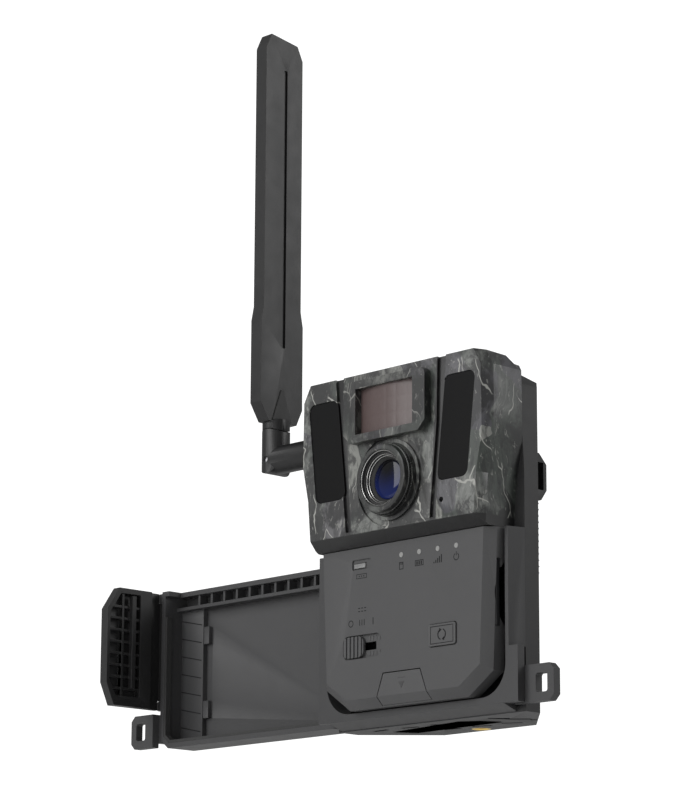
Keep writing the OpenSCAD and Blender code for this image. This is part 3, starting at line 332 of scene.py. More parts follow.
def lathe_marks() -> bpy.types.NodeTree:
    """Fine tool marks and smears on machined metal.

    Returns:
        The shader node group.
    """

    def fill(t: Tree, given: Any) -> dict[str, Any]:
        """Adds the group's nodes.

        Args:
            t: The group's tree.
            given: The group's inputs.

        Returns:
            The socket for each output.
        """
        lines = t.noise(t.stretched(given["Vector"], (1, 1, 14)), given["Scale"], 3.0, 0.6)
        smear = t.noise(given["Vector"], 220.0, 3.0)
        worn = t.math("MULTIPLY", t.math("SUBTRACT", smear, 0.4), 0.3)
        rough = t.math("ADD", given["Roughness"], worn, True)
        return {"Roughness": rough, "Height": lines}

    return shader_group(
        "lathe_marks", {"Vector": None, "Scale": 500.0, "Roughness": 0.3},
        {"Roughness": FLOAT, "Height": FLOAT}, fill,
    )


# ---------------------------------------------------------------- finishes


def new_material(name: str) -> tuple[bpy.types.Material, Tree, Any]:
    """A material with its tree and the Object coordinate.

    Args:
        name: The material's name.

    Returns:
        The material, the tree helper and the coordinate socket.
    """
    material = bpy.data.materials.new(name)
    material.use_nodes = True
    material.node_tree.nodes.clear()
    tree = Tree(material.node_tree)
    return material, tree, tree.add("ShaderNodeTexCoord").outputs["Object"]


def close_material(tree: Tree, sockets: dict[str, Any], height: Any, depth: float) -> None:
    """Adds the Principled BSDF, the bump and the output.

    Args:
        tree: The material's tree.
        sockets: Values or sockets for the BSDF's inputs.
        height: The bump's height, or None.
        depth: The bump's depth in metres.
    """
    if height is not None:
        bump = tree.add("ShaderNodeBump", {"Height": height, "Distance": depth, "Strength": 1.0})
        sockets = {**sockets, "Normal": bump.outputs["Normal"]}
    shader = tree.add("ShaderNodeBsdfPrincipled", sockets)
    tree.add("ShaderNodeOutputMaterial", {"Surface": shader.outputs["BSDF"]})


@dataclass(frozen=True)
class Finish:
    """A surface finish with one material."""

    name: str

    def material(self) -> bpy.types.Material:
        """The finish's material, made at its first use.

        Returns:
            The material.
        """
        if self.name in bpy.data.materials:
            return bpy.data.materials[self.name]
        material, tree, place = new_material(self.name)
        self.paint(tree, place)
        return material

    def paint(self, tree: Tree, place: Any) -> None:
        """Adds the finish's nodes.

        Args:
            tree: The material's tree.
            place: The Object coordinate.
        """
        raise NotImplementedError


@dataclass(frozen=True)
class Moulded(Finish):
    """A moulded plastic or rubber with a fine grain."""

    color: Color
    roughness: float = 0.5
    grain: float = 2600.0
    depth: float = 0.00003
    variation: float = 0.2
    specular: float = 0.5
    coat: float = 0.0
    coat_roughness: float = 0.2

    def paint(self, tree: Tree, place: Any) -> None:
        """Adds the finish's nodes.

        Args:
            tree: The material's tree.
            place: The Object coordinate.
        """
        skin = tree.group(mould_grain(), {
            "Vector": place, "Color": self.color, "Grain Scale": self.grain,
            "Variation": self.variation, "Roughness": self.roughness,
        })
        close_material(tree, {
            "Base Color": skin["Color"], "Roughness": skin["Roughness"], "Specular IOR Level": self.specular,
            "Coat Weight": self.coat, "Coat Roughness": self.coat_roughness,
        }, skin["Height"], self.depth)


@dataclass(frozen=True)
class Printed(Finish):
    """Moulded plastic under a camouflage print, with painted shade on the head's lip and down its creases
    where set.
    """

    tint: float = 1.0
    roughness: float = 0.42
    paints_crease_shade: bool = False
    painted_shade: Color = (0.0045, 0.0045, 0.0048)
    variation: float = 0.15
    coat: float = 0.12
    coat_roughness: float = 0.3
    depth: float = 0.00002

    def paint(self, tree: Tree, place: Any) -> None:
        """Adds the finish's nodes.

        Args:
            tree: The material's tree.
            place: The Object coordinate.
        """
        art = tree.group(bark_print(), {"Vector": place})
        tinted = tree.mix(1.0, art["Color"], (self.tint,) * 3, "MULTIPLY")
        # painted shade: the lip under the head and bands down its creases turn dark
        if self.paints_crease_shade:
            printed = tree.group(crease_shade(), {"Vector": place})["Unshaded"]
            tinted = tree.mix(printed, self.painted_shade, tinted)
        skin = tree.group(mould_grain(), {
            "Vector": place, "Color": tinted, "Roughness": self.roughness, "Variation": self.variation,
        })
        height = tree.math("ADD", tree.math("MULTIPLY", art["Height"], 0.5), skin["Height"])
        close_material(tree, {
            "Base Color": skin["Color"], "Roughness": skin["Roughness"],
            "Coat Weight": self.coat, "Coat Roughness": self.coat_roughness,
        }, height, self.depth)


@dataclass(frozen=True)
class Metal(Finish):
    """A machined or plated metal."""

    color: Color
    roughness: float = 0.3
    depth: float = 0.00002

    def paint(self, tree: Tree, place: Any) -> None:
        """Adds the finish's nodes.

        Args:
            tree: The material's tree.
            place: The Object coordinate.
        """
        marks = tree.group(lathe_marks(), {"Vector": place, "Roughness": self.roughness})
        sockets = {"Base Color": self.color, "Metallic": 1.0, "Roughness": marks["Roughness"]}
        close_material(tree, sockets, marks["Height"], self.depth)


@dataclass(frozen=True)
class Coated(Finish):
    """Dark coated glass whose colour turns from the middle to the rim; on the lens the blue rim is a painted
    reflection.
    """

    middle: Color
    rim: Color
    centre: tuple[float, float, float]
    reach: float
    specular: float = 0.22
    coat: float = 0.08
    coat_roughness: float = 0.03
    coat_tint: Color = (0.75, 0.8, 1.0)

    def paint(self, tree: Tree, place: Any) -> None:
        """Adds the finish's nodes.

        Args:
            tree: The material's tree.
            place: The Object coordinate.
        """
        away = tree.vector("DISTANCE", {0: place, 1: self.centre}, "Value")
        fade = tree.band(away, 0.1 * self.reach, self.reach)
        close_material(tree, {
            "Base Color": tree.mix(fade, self.middle, self.rim),
            "Roughness": tree.math("MULTIPLY", tree.noise(place, 300.0, 2.0), 0.08),
            "Specular IOR Level": self.specular, "Coat Weight": self.coat,
            "Coat Roughness": self.coat_roughness, "Coat Tint": self.coat_tint,
        }, None, 0.0)


@dataclass(frozen=True)
class Board(Finish):
    """Solder mask over copper tracks."""

    mask: Color
    track: Color
    depth: float = 0.00002

    def paint(self, tree: Tree, place: Any) -> None:
        """Adds the finish's nodes.

        Args:
            tree: The material's tree.
            place: The Object coordinate.
        """
        inputs = {"Vector": place, "Scale": 180.0, "Mortar Size": 0.035}
        cells = tree.add("ShaderNodeTexBrick", inputs).outputs["Fac"]
        color = tree.mix(cells, self.mask, self.track)
        sockets = {"Base Color": color, "Roughness": tree.band(tree.noise(place, 90.0), -0.4, 1.6)}
        close_material(tree, sockets, cells, self.depth)


# the head's print gets painted shade on its lip and down its creases
CAMO = Printed("camo_print", 1.0, 0.42, True)
CAMO_DARK = Printed("camo_print_trim", 0.62, 0.36)
SHELL_DARK = Moulded("shell_dark", (0.0155, 0.0155, 0.016), 0.5, 2200.0, 0.00003, 0.2, 0.35)
FRAME_GREY = Moulded("frame_grey", (0.03, 0.03, 0.031), 0.48, 2600.0, 0.00003, 0.2, 0.35)
PANEL_GREY = Moulded("panel_grey", (0.048, 0.048, 0.049), 0.55, 2400.0, 0.00002, 0.12, 0.3)
DOOR_GREY = Moulded("door_grey", (0.034, 0.034, 0.035), 0.5, 2400.0, 0.00002, 0.15, 0.35)
LATCH_GREY = Moulded("latch_grey", (0.012, 0.012, 0.0123), 0.42, 2600.0, 0.00003, 0.2, 0.35)
BUTTON_GREY = Moulded("button_grey", (0.05, 0.05, 0.051), 0.45, 3200.0, 0.00002, 0.1, 0.35)
BAR_GREY = Moulded("bar_grey", (0.13, 0.13, 0.13), 0.4)
ANTENNA_BLACK = Moulded("antenna_black", (0.0075, 0.0075, 0.0078), 0.4, 2600.0, 0.00002, 0.2, 0.35)
TRIM_BLACK = Moulded("trim_black", (0.012, 0.012, 0.012), 0.6)
# ink for printed marks, and painted shade for the grooves on the door's land
INK_AND_GROOVE_SHADE = Moulded("ink_and_groove_shade", (0.008, 0.008, 0.0085), 0.7, 2600.0, 0.00002, 0.1, 0.2)
WINDOW_BLACK = Moulded("window_black", (0.0042, 0.0042, 0.0044), 0.45, 5000.0, 0.000004, 0.1, 0.08)
SENSOR_SHEET = Moulded("sensor_sheet", (0.068, 0.049, 0.047), 0.36, 900.0, 0.00001, 0.3, 0.35)
RUBBER = Moulded("soft_rubber", (0.018, 0.018, 0.018), 0.8, 1600.0, 0.00005)
MILKY = Moulded("milky_guide", (0.2, 0.2, 0.195), 0.35, 3000.0, 0.00001, 0.05, 0.3)
EPOXY = Moulded("emitter_epoxy", (0.5, 0.5, 0.56), 0.15, 3000.0, 0.00001, 0.05, 0.5, 0.6)
CARD_BODY = Moulded("card_body", (0.006, 0.006, 0.007), 0.5)
CELL_SLEEVE = Moulded("cell_sleeve", (0.1, 0.15, 0.05), 0.25, 900.0, 0.00001, 0.5, 0.5, 0.5)
CASE_BLACK = Moulded("case_black", (0.022, 0.022, 0.023), 0.55)
STEEL = Metal("plated_steel", (0.58, 0.58, 0.6), 0.32)
NICKEL = Metal("nickel_plate", (0.68, 0.66, 0.62), 0.22)
GOLD = Metal("gold_plate", (0.85, 0.6, 0.25), 0.25)
BRASS = Metal("turned_brass", (0.78, 0.56, 0.18), 0.28)
RING_METAL = Metal("ring_metal", (0.42, 0.42, 0.41), 0.22)
CIRCUIT = Board("circuit_mask", (0.012, 0.09, 0.035), (0.03, 0.17, 0.07))
# painted shade: the control board is nearly black so the mode switch's slot in front of it looks shaded
CIRCUIT_SLOT_SHADE = Board("circuit_slot_shade", (0.004, 0.004, 0.0045), (0.008, 0.008, 0.009))
# painted reflection: the lens's blue towards its lower rim stands for the coating's reflection
LENS_COAT = Coated(
    "lens_coating", (0.0028, 0.0028, 0.0032), (0.006, 0.012, 0.07), tuple(spot(0, -1, 93.5)), 0.0135
)
FILTER_COAT = Coated("filter_coating", (0.12, 0.02, 0.04), (0.03, 0.08, 0.09), tuple(spot(-7, 11, 88)), 0.008)


# ---------------------------------------------------------------- meshes


def placed(name: str, data: bpy.types.ID) -> bpy.types.Object:
    """Puts new object data in the scene.

    Args:
        name: The object's name.
        data: Its mesh, camera or light.

    Returns:
        The object.
    """
    thing = bpy.data.objects.new(name, data)
    bpy.context.scene.collection.objects.link(thing)
    return thing


def publish(name: str, mesh: Mesh, body: Body, finish: Finish,
            smooth: float = 40.0) -> bpy.types.Object:
    """Turns a finished bmesh into a piece that rides on a body.

    Args:
        name: The piece's name.
        mesh: The bmesh, in metres in the row frame. It is freed.
        body: The body that the piece rides on.
        finish: The piece's finish.
        smooth: Edges sharper than this many degrees stay sharp.

    Returns:
        The piece's object.
    """
    data = bpy.data.meshes.new(name)
    for face in mesh.faces:
        face.smooth = True
    mesh.to_mesh(data)
    mesh.free()
    data.set_sharp_from_angle(angle=math.radians(smooth))
    piece = placed(name, data)
    data.materials.append(finish.material())
    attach(piece, body.value)
    LOG.info("%s: %d faces on %s", name, len(data.polygons), body.value)
    return piece


def closed(mesh: Mesh, merge: float = 1e-6) -> Mesh:
    """Merges doubles and turns every face outwards.

    Args:
        mesh: The bmesh to finish.
        merge: The distance within which points are merged, in metres.

    Returns:
        The same bmesh.
    """
    bmesh.ops.remove_doubles(mesh, verts=mesh.verts, dist=merge)
    bmesh.ops.recalc_face_normals(mesh, faces=mesh.faces)
    return mesh


def rounded(piece: bpy.types.Object, width: float, segments: int) -> bpy.types.Modifier:
    """Rounds a piece's sharp edges.

    Args:
        piece: The piece.
        width: The rounding's width in millimetres.
        segments: The rounding's segments.

    Returns:
        The Bevel modifier.
    """
    rounding = piece.modifiers.new("edge_rounding", "BEVEL")
    rounding.width = width * MM
    rounding.segments = segments
    rounding.limit_method = "ANGLE"
    return rounding


def raised(mesh: Mesh, faces: Sequence[bmesh.types.BMFace], offset: Sequence[float]) -> None:
    """Gives faces a thickness by an extrusion that keeps the old faces.

    Args:
        mesh: The bmesh that they belong to.
        faces: The faces to extrude.
        offset: How far the new faces move, in metres.
    """
    lifted = bmesh.ops.extrude_face_region(mesh, geom=faces, use_keep_orig=True)["geom"]
    moved = [v for v in lifted if isinstance(v, bmesh.types.BMVert)]
    bmesh.ops.translate(mesh, verts=moved, vec=offset)


def softened(node: str, body: Body, finish: Finish, width: float,
             segments: int = 2, sharp: float = 32.0) -> bpy.types.Object:
    """A piece with the CAD node's shape and rounded edges, which stands for the node.

    Args:
        node: The CAD node.
        body: The body that the piece rides on.
        finish: The piece's finish.
        width: The rounding's width in millimetres.
        segments: The rounding's segments.
        sharp: Edges that turn by more than this many degrees are rounded.

    Returns:
        The piece's object.
    """
    mesh = bmesh.new()
    mesh.from_mesh(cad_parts[node].data)
    bmesh.ops.remove_doubles(mesh, verts=mesh.verts, dist=2e-6)
    bmesh.ops.dissolve_limit(
        mesh, angle_limit=math.radians(0.8), verts=mesh.verts, edges=mesh.edges, use_dissolve_boundaries=False
    )
    piece = publish(f"{node}_soft", mesh, body, finish, sharp)
    rounding = rounded(piece, width, segments)
    rounding.angle_limit = math.radians(sharp)
    rounding.harden_normals = True
    rounding.miter_outer = "MITER_ARC"
    rounding.use_clamp_overlap = True
    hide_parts(node)
    return piece


def dressed(nodes: Sequence[str], finish: Finish) -> None:
    """Gives CAD nodes that keep their shape a finish.

    Args:
        nodes: The CAD nodes.
        finish: Their finish.
    """
    for node in nodes:
        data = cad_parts[node].data
        data.materials.clear()
        data.materials.append(finish.material())
        LOG.info("%s: dressed in %s", node, finish.name)


def add_turned(mesh: Mesh, profile: Profile, centre: Vector, axis: Axis, steps: int = 96) -> None:
    """Spins a profile about an axis.

    Args:
        mesh: The bmesh that gets the turned shape.
        profile: Pairs of radius and position along the axis, in millimetres.
        centre: The axis' zero point, in metres.
        axis: The axis that the profile spins about.
        steps: The number of steps round the full turn.
    """
    along = Vector(axis.value)
    out = Vector((0, 0, 1)) if axis is not Axis.Z else Vector((1, 0, 0))
    points = [mesh.verts.new(centre + out * r * MM + along * h * MM) for r, h in profile]
    edges = [mesh.edges.new(pair) for pair in zip(points, points[1:])]
    if profile[0][0] > 0 or profile[-1][0] > 0:
        edges.append(mesh.edges.new((points[-1], points[0])))
    bmesh.ops.spin(
        mesh, geom=[*points, *edges], cent=centre, axis=along, dvec=(0, 0, 0),
        angle=FULL_TURN, steps=steps, use_merge=True, use_normal_flip=False, use_duplicate=False,
    )


def add_block(mesh: Mesh, low: Vector, high: Vector, turn: float = 0.0) -> list[bmesh.types.BMVert]:
    """Adds a box between two corners, turned about its middle in the front view.

    Args:
        mesh: The bmesh that gets the box.
        low: Its lowest corner in metres.
        high: Its highest corner in metres.
        turn: Degrees about the Y axis.

    Returns:
        The box's vertices.
    """
    size = high - low
    place = Matrix.Translation((low + high) / 2) @ Matrix.Rotation(math.radians(turn), 4, "Y")
    return bmesh.ops.create_cube(mesh, size=1.0, matrix=place @ Matrix.Diagonal((*size, 1.0)))["verts"]


def add_plate(mesh: Mesh, outline: Profile, y: float, depth: float) -> None:
    """Extrudes a front-view outline from y towards the front.

    Args:
        mesh: The bmesh that gets the plate.
        outline: Points right and up, in millimetres.
        y: The plate's back, in millimetres behind the head's front.
        depth: The plate's thickness in millimetres.
    """
    corners = [mesh.verts.new(spot(x, y, z)) for x, z in outline]
    face = bmesh.ops.contextual_create(mesh, geom=corners)["faces"]
    raised(mesh, face, (0, -depth * MM, 0))


def add_arc(mesh: Mesh, centre: Vector, radius: float, width: float, thick: float,
            start: float, sweep: float, steps: int = 20) -> None:
    """Adds a flat arc or ring, seen from the front.

    Args:
        mesh: The bmesh that gets the arc.
        centre: Its middle, at its back face, in metres.
        radius: Its middle radius in millimetres.
        width: Its line's width in millimetres.
        thick: How far it stands forward, in millimetres.
        start: Degrees from upright, clockwise from the front.
        sweep: Degrees that it runs through.
        steps: Its steps.
    """
    turn = Matrix.Rotation(math.radians(start), 3, "Y")
    inner, outer = radius - width / 2, radius + width / 2
    profile = [(inner, 0), (outer, 0), (outer, -thick), (inner, -thick)]
    points = [mesh.verts.new(centre + turn @ Vector((0, y, r)) * MM) for r, y in profile]
    face = bmesh.ops.contextual_create(mesh, geom=points)["faces"]
    if sweep >= 360:
        edges = list(face[0].edges)
        bmesh.ops.delete(mesh, geom=face, context="FACES_ONLY")
        bmesh.ops.spin(
            mesh, geom=[*points, *edges], cent=centre, axis=(0, 1, 0), dvec=(0, 0, 0),
            angle=FULL_TURN, steps=steps * 2, use_merge=True, use_normal_flip=False, use_duplicate=False,
        )
        return
    bmesh.ops.spin(
        mesh, geom=face, cent=centre, axis=(0, 1, 0), dvec=(0, 0, 0),
        angle=math.radians(sweep), steps=steps, use_merge=False, use_normal_flip=False, use_duplicate=False,
    )


# ---------------------------------------------------------------- sub-assemblies


@dataclass
class Casing:
    """The two shells, the bay frame and what is fixed to them."""

    shell_round: float = 0.7
    frame_round: float = 0.5
    insert_r: float = 3.9
    insert_h: float = 8.0
    bore_r: float = 2.55
    bore_depth: float = 7.4
    thread_pitch: float = 1.27
    thread_turns: int = 5
    thread_height: float = 0.55
    mouth: float = 0.5

    def build(self) -> None:
        """Builds and dresses the casing."""
        softened("front_shell", Body.CAMERA, CAMO, self.shell_round, 3)
        softened("rear_shell", Body.CAMERA, SHELL_DARK, self.shell_round, 3)
        softened("bay_frame", Body.CAMERA, FRAME_GREY, self.frame_round)
        softened("tree_bracket", Body.CAMERA, SHELL_DARK, 0.4)
        dressed(["shell_gasket"], RUBBER)
        dressed(["shell_screws", "frame_screws", "bracket_screws", "board_screws"], STEEL)
        dressed(["main_board", "sensor_board", "led_board_left", "led_board_right"], CIRCUIT)
        dressed(["cellular_module"], NICKEL)
        dressed(["antenna_socket", "bay_contacts"], GOLD)
        dressed(["coax_pigtail"], RUBBER)
        self.insert()

    def insert(self) -> None:
        """Builds the brass tripod insert with its thread's crests."""
        outer, bore, pitch = self.insert_r, self.bore_r, self.thread_pitch
        profile = [(0.0, self.insert_h), (outer, self.insert_h), (outer, 0.3), (outer - 0.3, 0.0)]
        profile += [(bore + self.mouth, 0.0), (bore, self.mouth)]
        for turn in range(self.thread_turns):
            z = self.mouth + turn * pitch
            profile += [(bore + self.thread_height, z + pitch / 2), (bore, z + pitch)]
        profile += [(bore, self.bore_depth), (0.0, self.bore_depth)]
        mesh = bmesh.new()
        add_turned(mesh, profile, spot(0, TRIPOD_Y, 0), Axis.Z, 48)
        piece = publish("insert_threaded", closed(mesh), Body.CAMERA, BRASS)
        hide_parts("tripod_insert")


@dataclass
class Optics:
    """The lens, the motion sensor and the infrared windows.

    Profiles are pairs of radius and depth behind the head's front, in millimetres.
    """

    lens_z: float = 88.0
    cone: Profile = (
        (10.6, -3.6), (10.6, -5.0), (10.9, -5.2), (12.1, -5.2), (12.6, -4.9), (12.75, -4.4),
        (12.9, -3.0), (13.1, -2.9), (13.2, -1.6), (13.4, -1.5), (13.7, 0.0), (13.7, 2.2),
        (15.0, 2.2), (15.0, 3.2), (10.6, 3.2),
    )
    throat: Profile = (
        (10.6, -4.4), (10.1, -4.4), (10.0, -3.4), (9.5, -3.4), (9.4, -2.7), (9.0, -2.7), (8.9, -2.0),
        (8.5, -2.0), (8.4, -1.5), (7.5, -0.6), (7.5, 0.6), (6.1, 0.6), (6.1, 3.2), (10.6, 3.2),
    )
    rings: Profile = ((10.35, -4.5), (9.2, -2.85), (8.65, -2.12))
    ring_half: float = 0.16
    rib_count: int = 84
    rib_r: float = 13.2
    rib_depth: float = -2.2
    rib_size: tuple[float, float, float] = (0.32, 1.3, 0.5)
    dome_r: float = 7.4
    dome_front: float = -1.5
    dome_rise: float = 1.1
    dome_back: float = 0.6
    sheet_w: float = 30.0
    sheet_h: float = 17.4
    sheet_z: float = 115.3
    sheet_t: float = 0.8
    bow: float = 62.0
    bow_centre: float = 59.8
    bow_sink: float = 0.15
    lenslet_columns: int = 6
    lenslet_rows: int = 3
    lenslet_swell: float = 0.07

    def build(self) -> None:
        """Builds and dresses the optics."""
        softened("pir_frame", Body.CAMERA, CAMO_DARK, 0.8, 3)
        for side in ("left", "right"):
            softened(f"ir_window_{side}", Body.CAMERA, WINDOW_BLACK, 0.3)
        dressed(["lens_barrel", "lens_holder", "microphone"], TRIM_BLACK)
        dressed(["pir_sensor"], STEEL)
        dressed(["ir_leds"], EPOXY)
        dressed(["ir_cut_filter"], FILTER_COAT)
        self.bezel()
        self.glass()
        self.sheet()

    def bezel(self) -> None:
        """Builds the lens bezel: a printed cone, its ribs, a stepped throat and three bright rings."""
        centre = spot(0, 0, self.lens_z)
        mesh = bmesh.new()
        add_turned(mesh, self.cone, centre, Axis.Y)
        outer = publish("bezel_cone", closed(mesh), Body.CAMERA, CAMO_DARK, 30)
        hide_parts("lens_bezel")
        ribs = bmesh.new()
        out = Matrix.Translation(Vector((0, self.rib_depth, self.rib_r)) * MM)
        out = out @ Matrix.Diagonal((*(size * MM for size in self.rib_size), 1.0))
        for k in range(self.rib_count):
            turn = Matrix.Rotation(FULL_TURN * k / self.rib_count, 4, "Y")
            bmesh.ops.create_cube(ribs, size=1.0, matrix=Matrix.Translation(centre) @ turn @ out)
        publish("bezel_ribs", ribs, Body.CAMERA, CAMO_DARK, 30)
        throat = bmesh.new()
        add_turned(throat, self.throat, centre, Axis.Y)
        publish("bezel_throat", closed(throat), Body.CAMERA, TRIM_BLACK, 30)
        rings = bmesh.new()
        for radius, depth in self.rings:
            low, high, back = radius - self.ring_half, radius + self.ring_half, depth + 0.3
            profile = ((low, back), (low, depth), (radius, depth - 0.1), (high, depth), (high, back))
            add_turned(rings, profile, centre, Axis.Y)
        publish("bezel_rings", closed(rings), Body.CAMERA, RING_METAL, 50)

    def glass(self) -> None:
        """Builds the domed front element."""
        dome = []
        for k in range(11):
            a = math.radians(9 * k)
            dome.append((self.dome_r * math.sin(a), self.dome_front + self.dome_rise * (1 - math.cos(a))))
        mesh = bmesh.new()
        profile = [*dome, (self.dome_r, self.dome_back), (0.0, self.dome_back)]
        add_turned(mesh, profile, spot(0, 0, self.lens_z), Axis.Y)
        front = publish("front_element", closed(mesh), Body.CAMERA, LENS_COAT, 60)
        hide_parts("lens_glass")

    def sheet(self) -> None:
        """Builds the bowed motion sensor window with its shallow lenslets."""
        mesh = bmesh.new()
        bmesh.ops.create_grid(mesh, x_segments=60, y_segments=30, size=0.5)
        for vert in mesh.verts:
            u, v = vert.co.x, vert.co.y
            x = u * self.sheet_w
            across = math.sin((u + 0.5) * self.lenslet_columns * math.pi)
            upward = math.sin((v + 0.5) * self.lenslet_rows * math.pi)
            swell = self.lenslet_swell * abs(across * upward) ** 0.5
            y = self.bow_centre - math.sqrt(self.bow ** 2 - x * x) + self.bow_sink - swell
            vert.co = spot(x, y, self.sheet_z + v * self.sheet_h)
        bmesh.ops.recalc_face_normals(mesh, faces=mesh.faces)
        raised(mesh, list(mesh.faces), (0, self.sheet_t * MM, 0))
        piece = publish("sensor_window", closed(mesh, 1e-7), Body.CAMERA, SENSOR_SHEET, 50)
        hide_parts("pir_lens")


@dataclass
class Cartridge:
    """The battery cartridge with its panel, controls and marks."""

    face_y: float = 6.0
    ink: float = 0.05
    thin: float = 0.35
    light_marks_z: float = 56.6
    switch_marks_x: tuple[float, float, float] = (-26.6, -20.7, -14.8)
    switch_marks_z: float = 37.8
    sync_x: float = 21.3
    sync_z: float = 29.0
    sync_sunk: float = 0.6

    def build(self) -> None:
        """Builds and dresses the cartridge."""
        softened("panel_cover", Body.CARTRIDGE, PANEL_GREY, 0.4, 3)
        softened("battery_case", Body.CARTRIDGE, CASE_BLACK, 0.3)
        softened("release_tab", Body.RELEASE, BUTTON_GREY, 0.3)
        softened("sync_button", Body.SYNC, BUTTON_GREY, 0.25)
        softened("mode_switch", Body.MODE, BUTTON_GREY, 0.15)
        softened("format_button", Body.FORMAT, BAR_GREY, 0.2)
        softened("sd_card", Body.CARD, CARD_BODY, 0.2)
        dressed(["aa_cells"], CELL_SLEEVE)
        dressed(["contact_springs", "contact_plates", "card_socket"], NICKEL)
        # painted shade: the near-black board darkens the mode switch's slot
        dressed(["control_board"], CIRCUIT_SLOT_SHADE)
        dressed(["light_guides"], MILKY)
        dressed(["case_screws"], STEEL)
        self.panel_marks()
        self.tab_marks()
        self.sync_mark()
        self.switch_floor()

    def bar(self, mesh: Mesh, x: float, z: float, w: float, h: float, turn: float = 0.0,
            y: float | None = None) -> None:
        """Adds a printed bar centred at x and z.

        Args:
            mesh: The bmesh that gets the bar.
            x: Its middle, in millimetres.
            z: Its middle, in millimetres.
            w: Its width in millimetres.
            h: Its height in millimetres.
            turn: Degrees that it is turned.
            y: The surface that it lies on, or the panel's face.
        """
        y = self.face_y if y is None else y
        low = spot(x - w / 2, y - self.ink / 2, z - h / 2)
        add_block(mesh, low, spot(x + w / 2, y + self.ink / 2, z + h / 2), turn)

    def frame_mark(self, mesh: Mesh, x: float, z: float, w: float, h: float, line: float = 0.3) -> None:
        """Adds a printed rectangle's outline.

        Args:
            mesh: The bmesh that gets the outline.
            x: Its middle, in millimetres.
            z: Its middle, in millimetres.
            w: Its width in millimetres.
            h: Its height in millimetres.
            line: Its line's width in millimetres.
        """
        for side in (-1, 1):
            self.bar(mesh, x, z + side * (h - line) / 2, w, line)
            self.bar(mesh, x + side * (w - line) / 2, z, line, h - 2 * line)

    def panel_marks(self) -> None:
        """Prints the plain symbols under the lights, over the switch and under the small bar."""
        mesh = bmesh.new()
        top, thin, front = self.light_marks_z, self.thin, self.face_y + self.ink / 2
        self.frame_mark(mesh, 0, top, 2.2, 2.8)
        self.frame_mark(mesh, 9.3, top, 4.4, 2.2)
        for k in range(3):
            self.bar(mesh, -0.55 + 0.55 * k, top + 0.7, 0.25, 0.7)
            self.bar(mesh, 8.2 + 1.1 * k, top, 0.7, 1.3)
        for k in range(5):
            self.bar(mesh, 16.9 + 0.95 * k, top - 1.2 + 0.3 * (k + 1), 0.5, 0.6 * (k + 1))
        add_arc(mesh, spot(28.2, front, top), 1.25, thin, self.ink, 30, 300)
        self.bar(mesh, 28.2, top + 1.1, thin, 1.5)
        ring_x, bars_x, line_x = self.switch_marks_x
        add_arc(mesh, spot(ring_x, front, self.switch_marks_z), 1.15, thin, self.ink, 0, 360)
        self.bar(mesh, line_x, self.switch_marks_z, 0.4, 2.6)
        self.frame_mark(mesh, -21.0, 55.2, 5.6, 1.8, 0.25)
        for k in range(3):
            self.bar(mesh, bars_x - 1.2 + 1.2 * k, self.switch_marks_z, thin, 2.2)
            self.bar(mesh, -22.2 + 1.6 * k, 42.0, 1.0, thin)
            self.bar(mesh, -22.2 + 1.6 * k, 43.2, 1.0, thin)
            self.bar(mesh, -22.2 + 1.2 * k, 55.2, 0.5, 0.5)
        publish("panel_marks", closed(mesh, 1e-8), Body.CARTRIDGE, INK_AND_GROOVE_SHADE)

    def tab_marks(self) -> None:
        """Moulds the arrow and the short line on the release tab."""
        mesh = bmesh.new()
        add_plate(mesh, [(-1.5, 14.0), (0.0, 11.6), (1.5, 14.0)], self.face_y + 0.02, 0.1)
        self.bar(mesh, 0, 15.4, 3.8, 0.3)
        publish("tab_arrow", closed(mesh, 1e-8), Body.RELEASE, FRAME_GREY)

    def sync_mark(self) -> None:
        """Moulds the button's border and its two turning arrows."""
        x, z, y = self.sync_x, self.sync_z, self.face_y - self.sync_sunk
        mesh = bmesh.new()
        for start in (20, 200):
            add_arc(mesh, spot(x, y + 0.02, z), 1.9, 0.42, 0.12, start, 130)
        for side in (-1, 1):
            tip = ((1.2, 2.4), (0.1, 1.75), (1.2, 0.9))
            add_plate(mesh, [(x + side * a, z - side * b) for a, b in tip], y + 0.02, 0.12)
            self.bar(mesh, x, z + side * 3.1, 11.6, 0.3, 0.0, y)
            self.bar(mesh, x + side * 5.65, z, 0.3, 5.9, 0.0, y)
        publish("sync_arrows", closed(mesh, 1e-8), Body.SYNC, INK_AND_GROOVE_SHADE)

    def switch_floor(self) -> None:
        """Builds the ribs on the floor of the mode switch's pocket."""
        mesh = bmesh.new()
        for k in range(4):
            x = -17.6 + 1.75 * k
            for low, high in ((25.2, 26.9), (30.7, 32.4)):
                verts = add_block(mesh, spot(x - 0.35, 6.95, low), spot(x + 0.35, 7.15, high))
                edges = {edge for vert in verts for edge in vert.link_edges}
                bmesh.ops.bevel(
                    mesh, geom=list(edges), offset=0.04 * MM, segments=1, profile=0.5, affect="EDGES",
                    material=-1,
                )
        publish("switch_floor_ribs", closed(mesh, 1e-8), Body.CARTRIDGE, BUTTON_GREY)


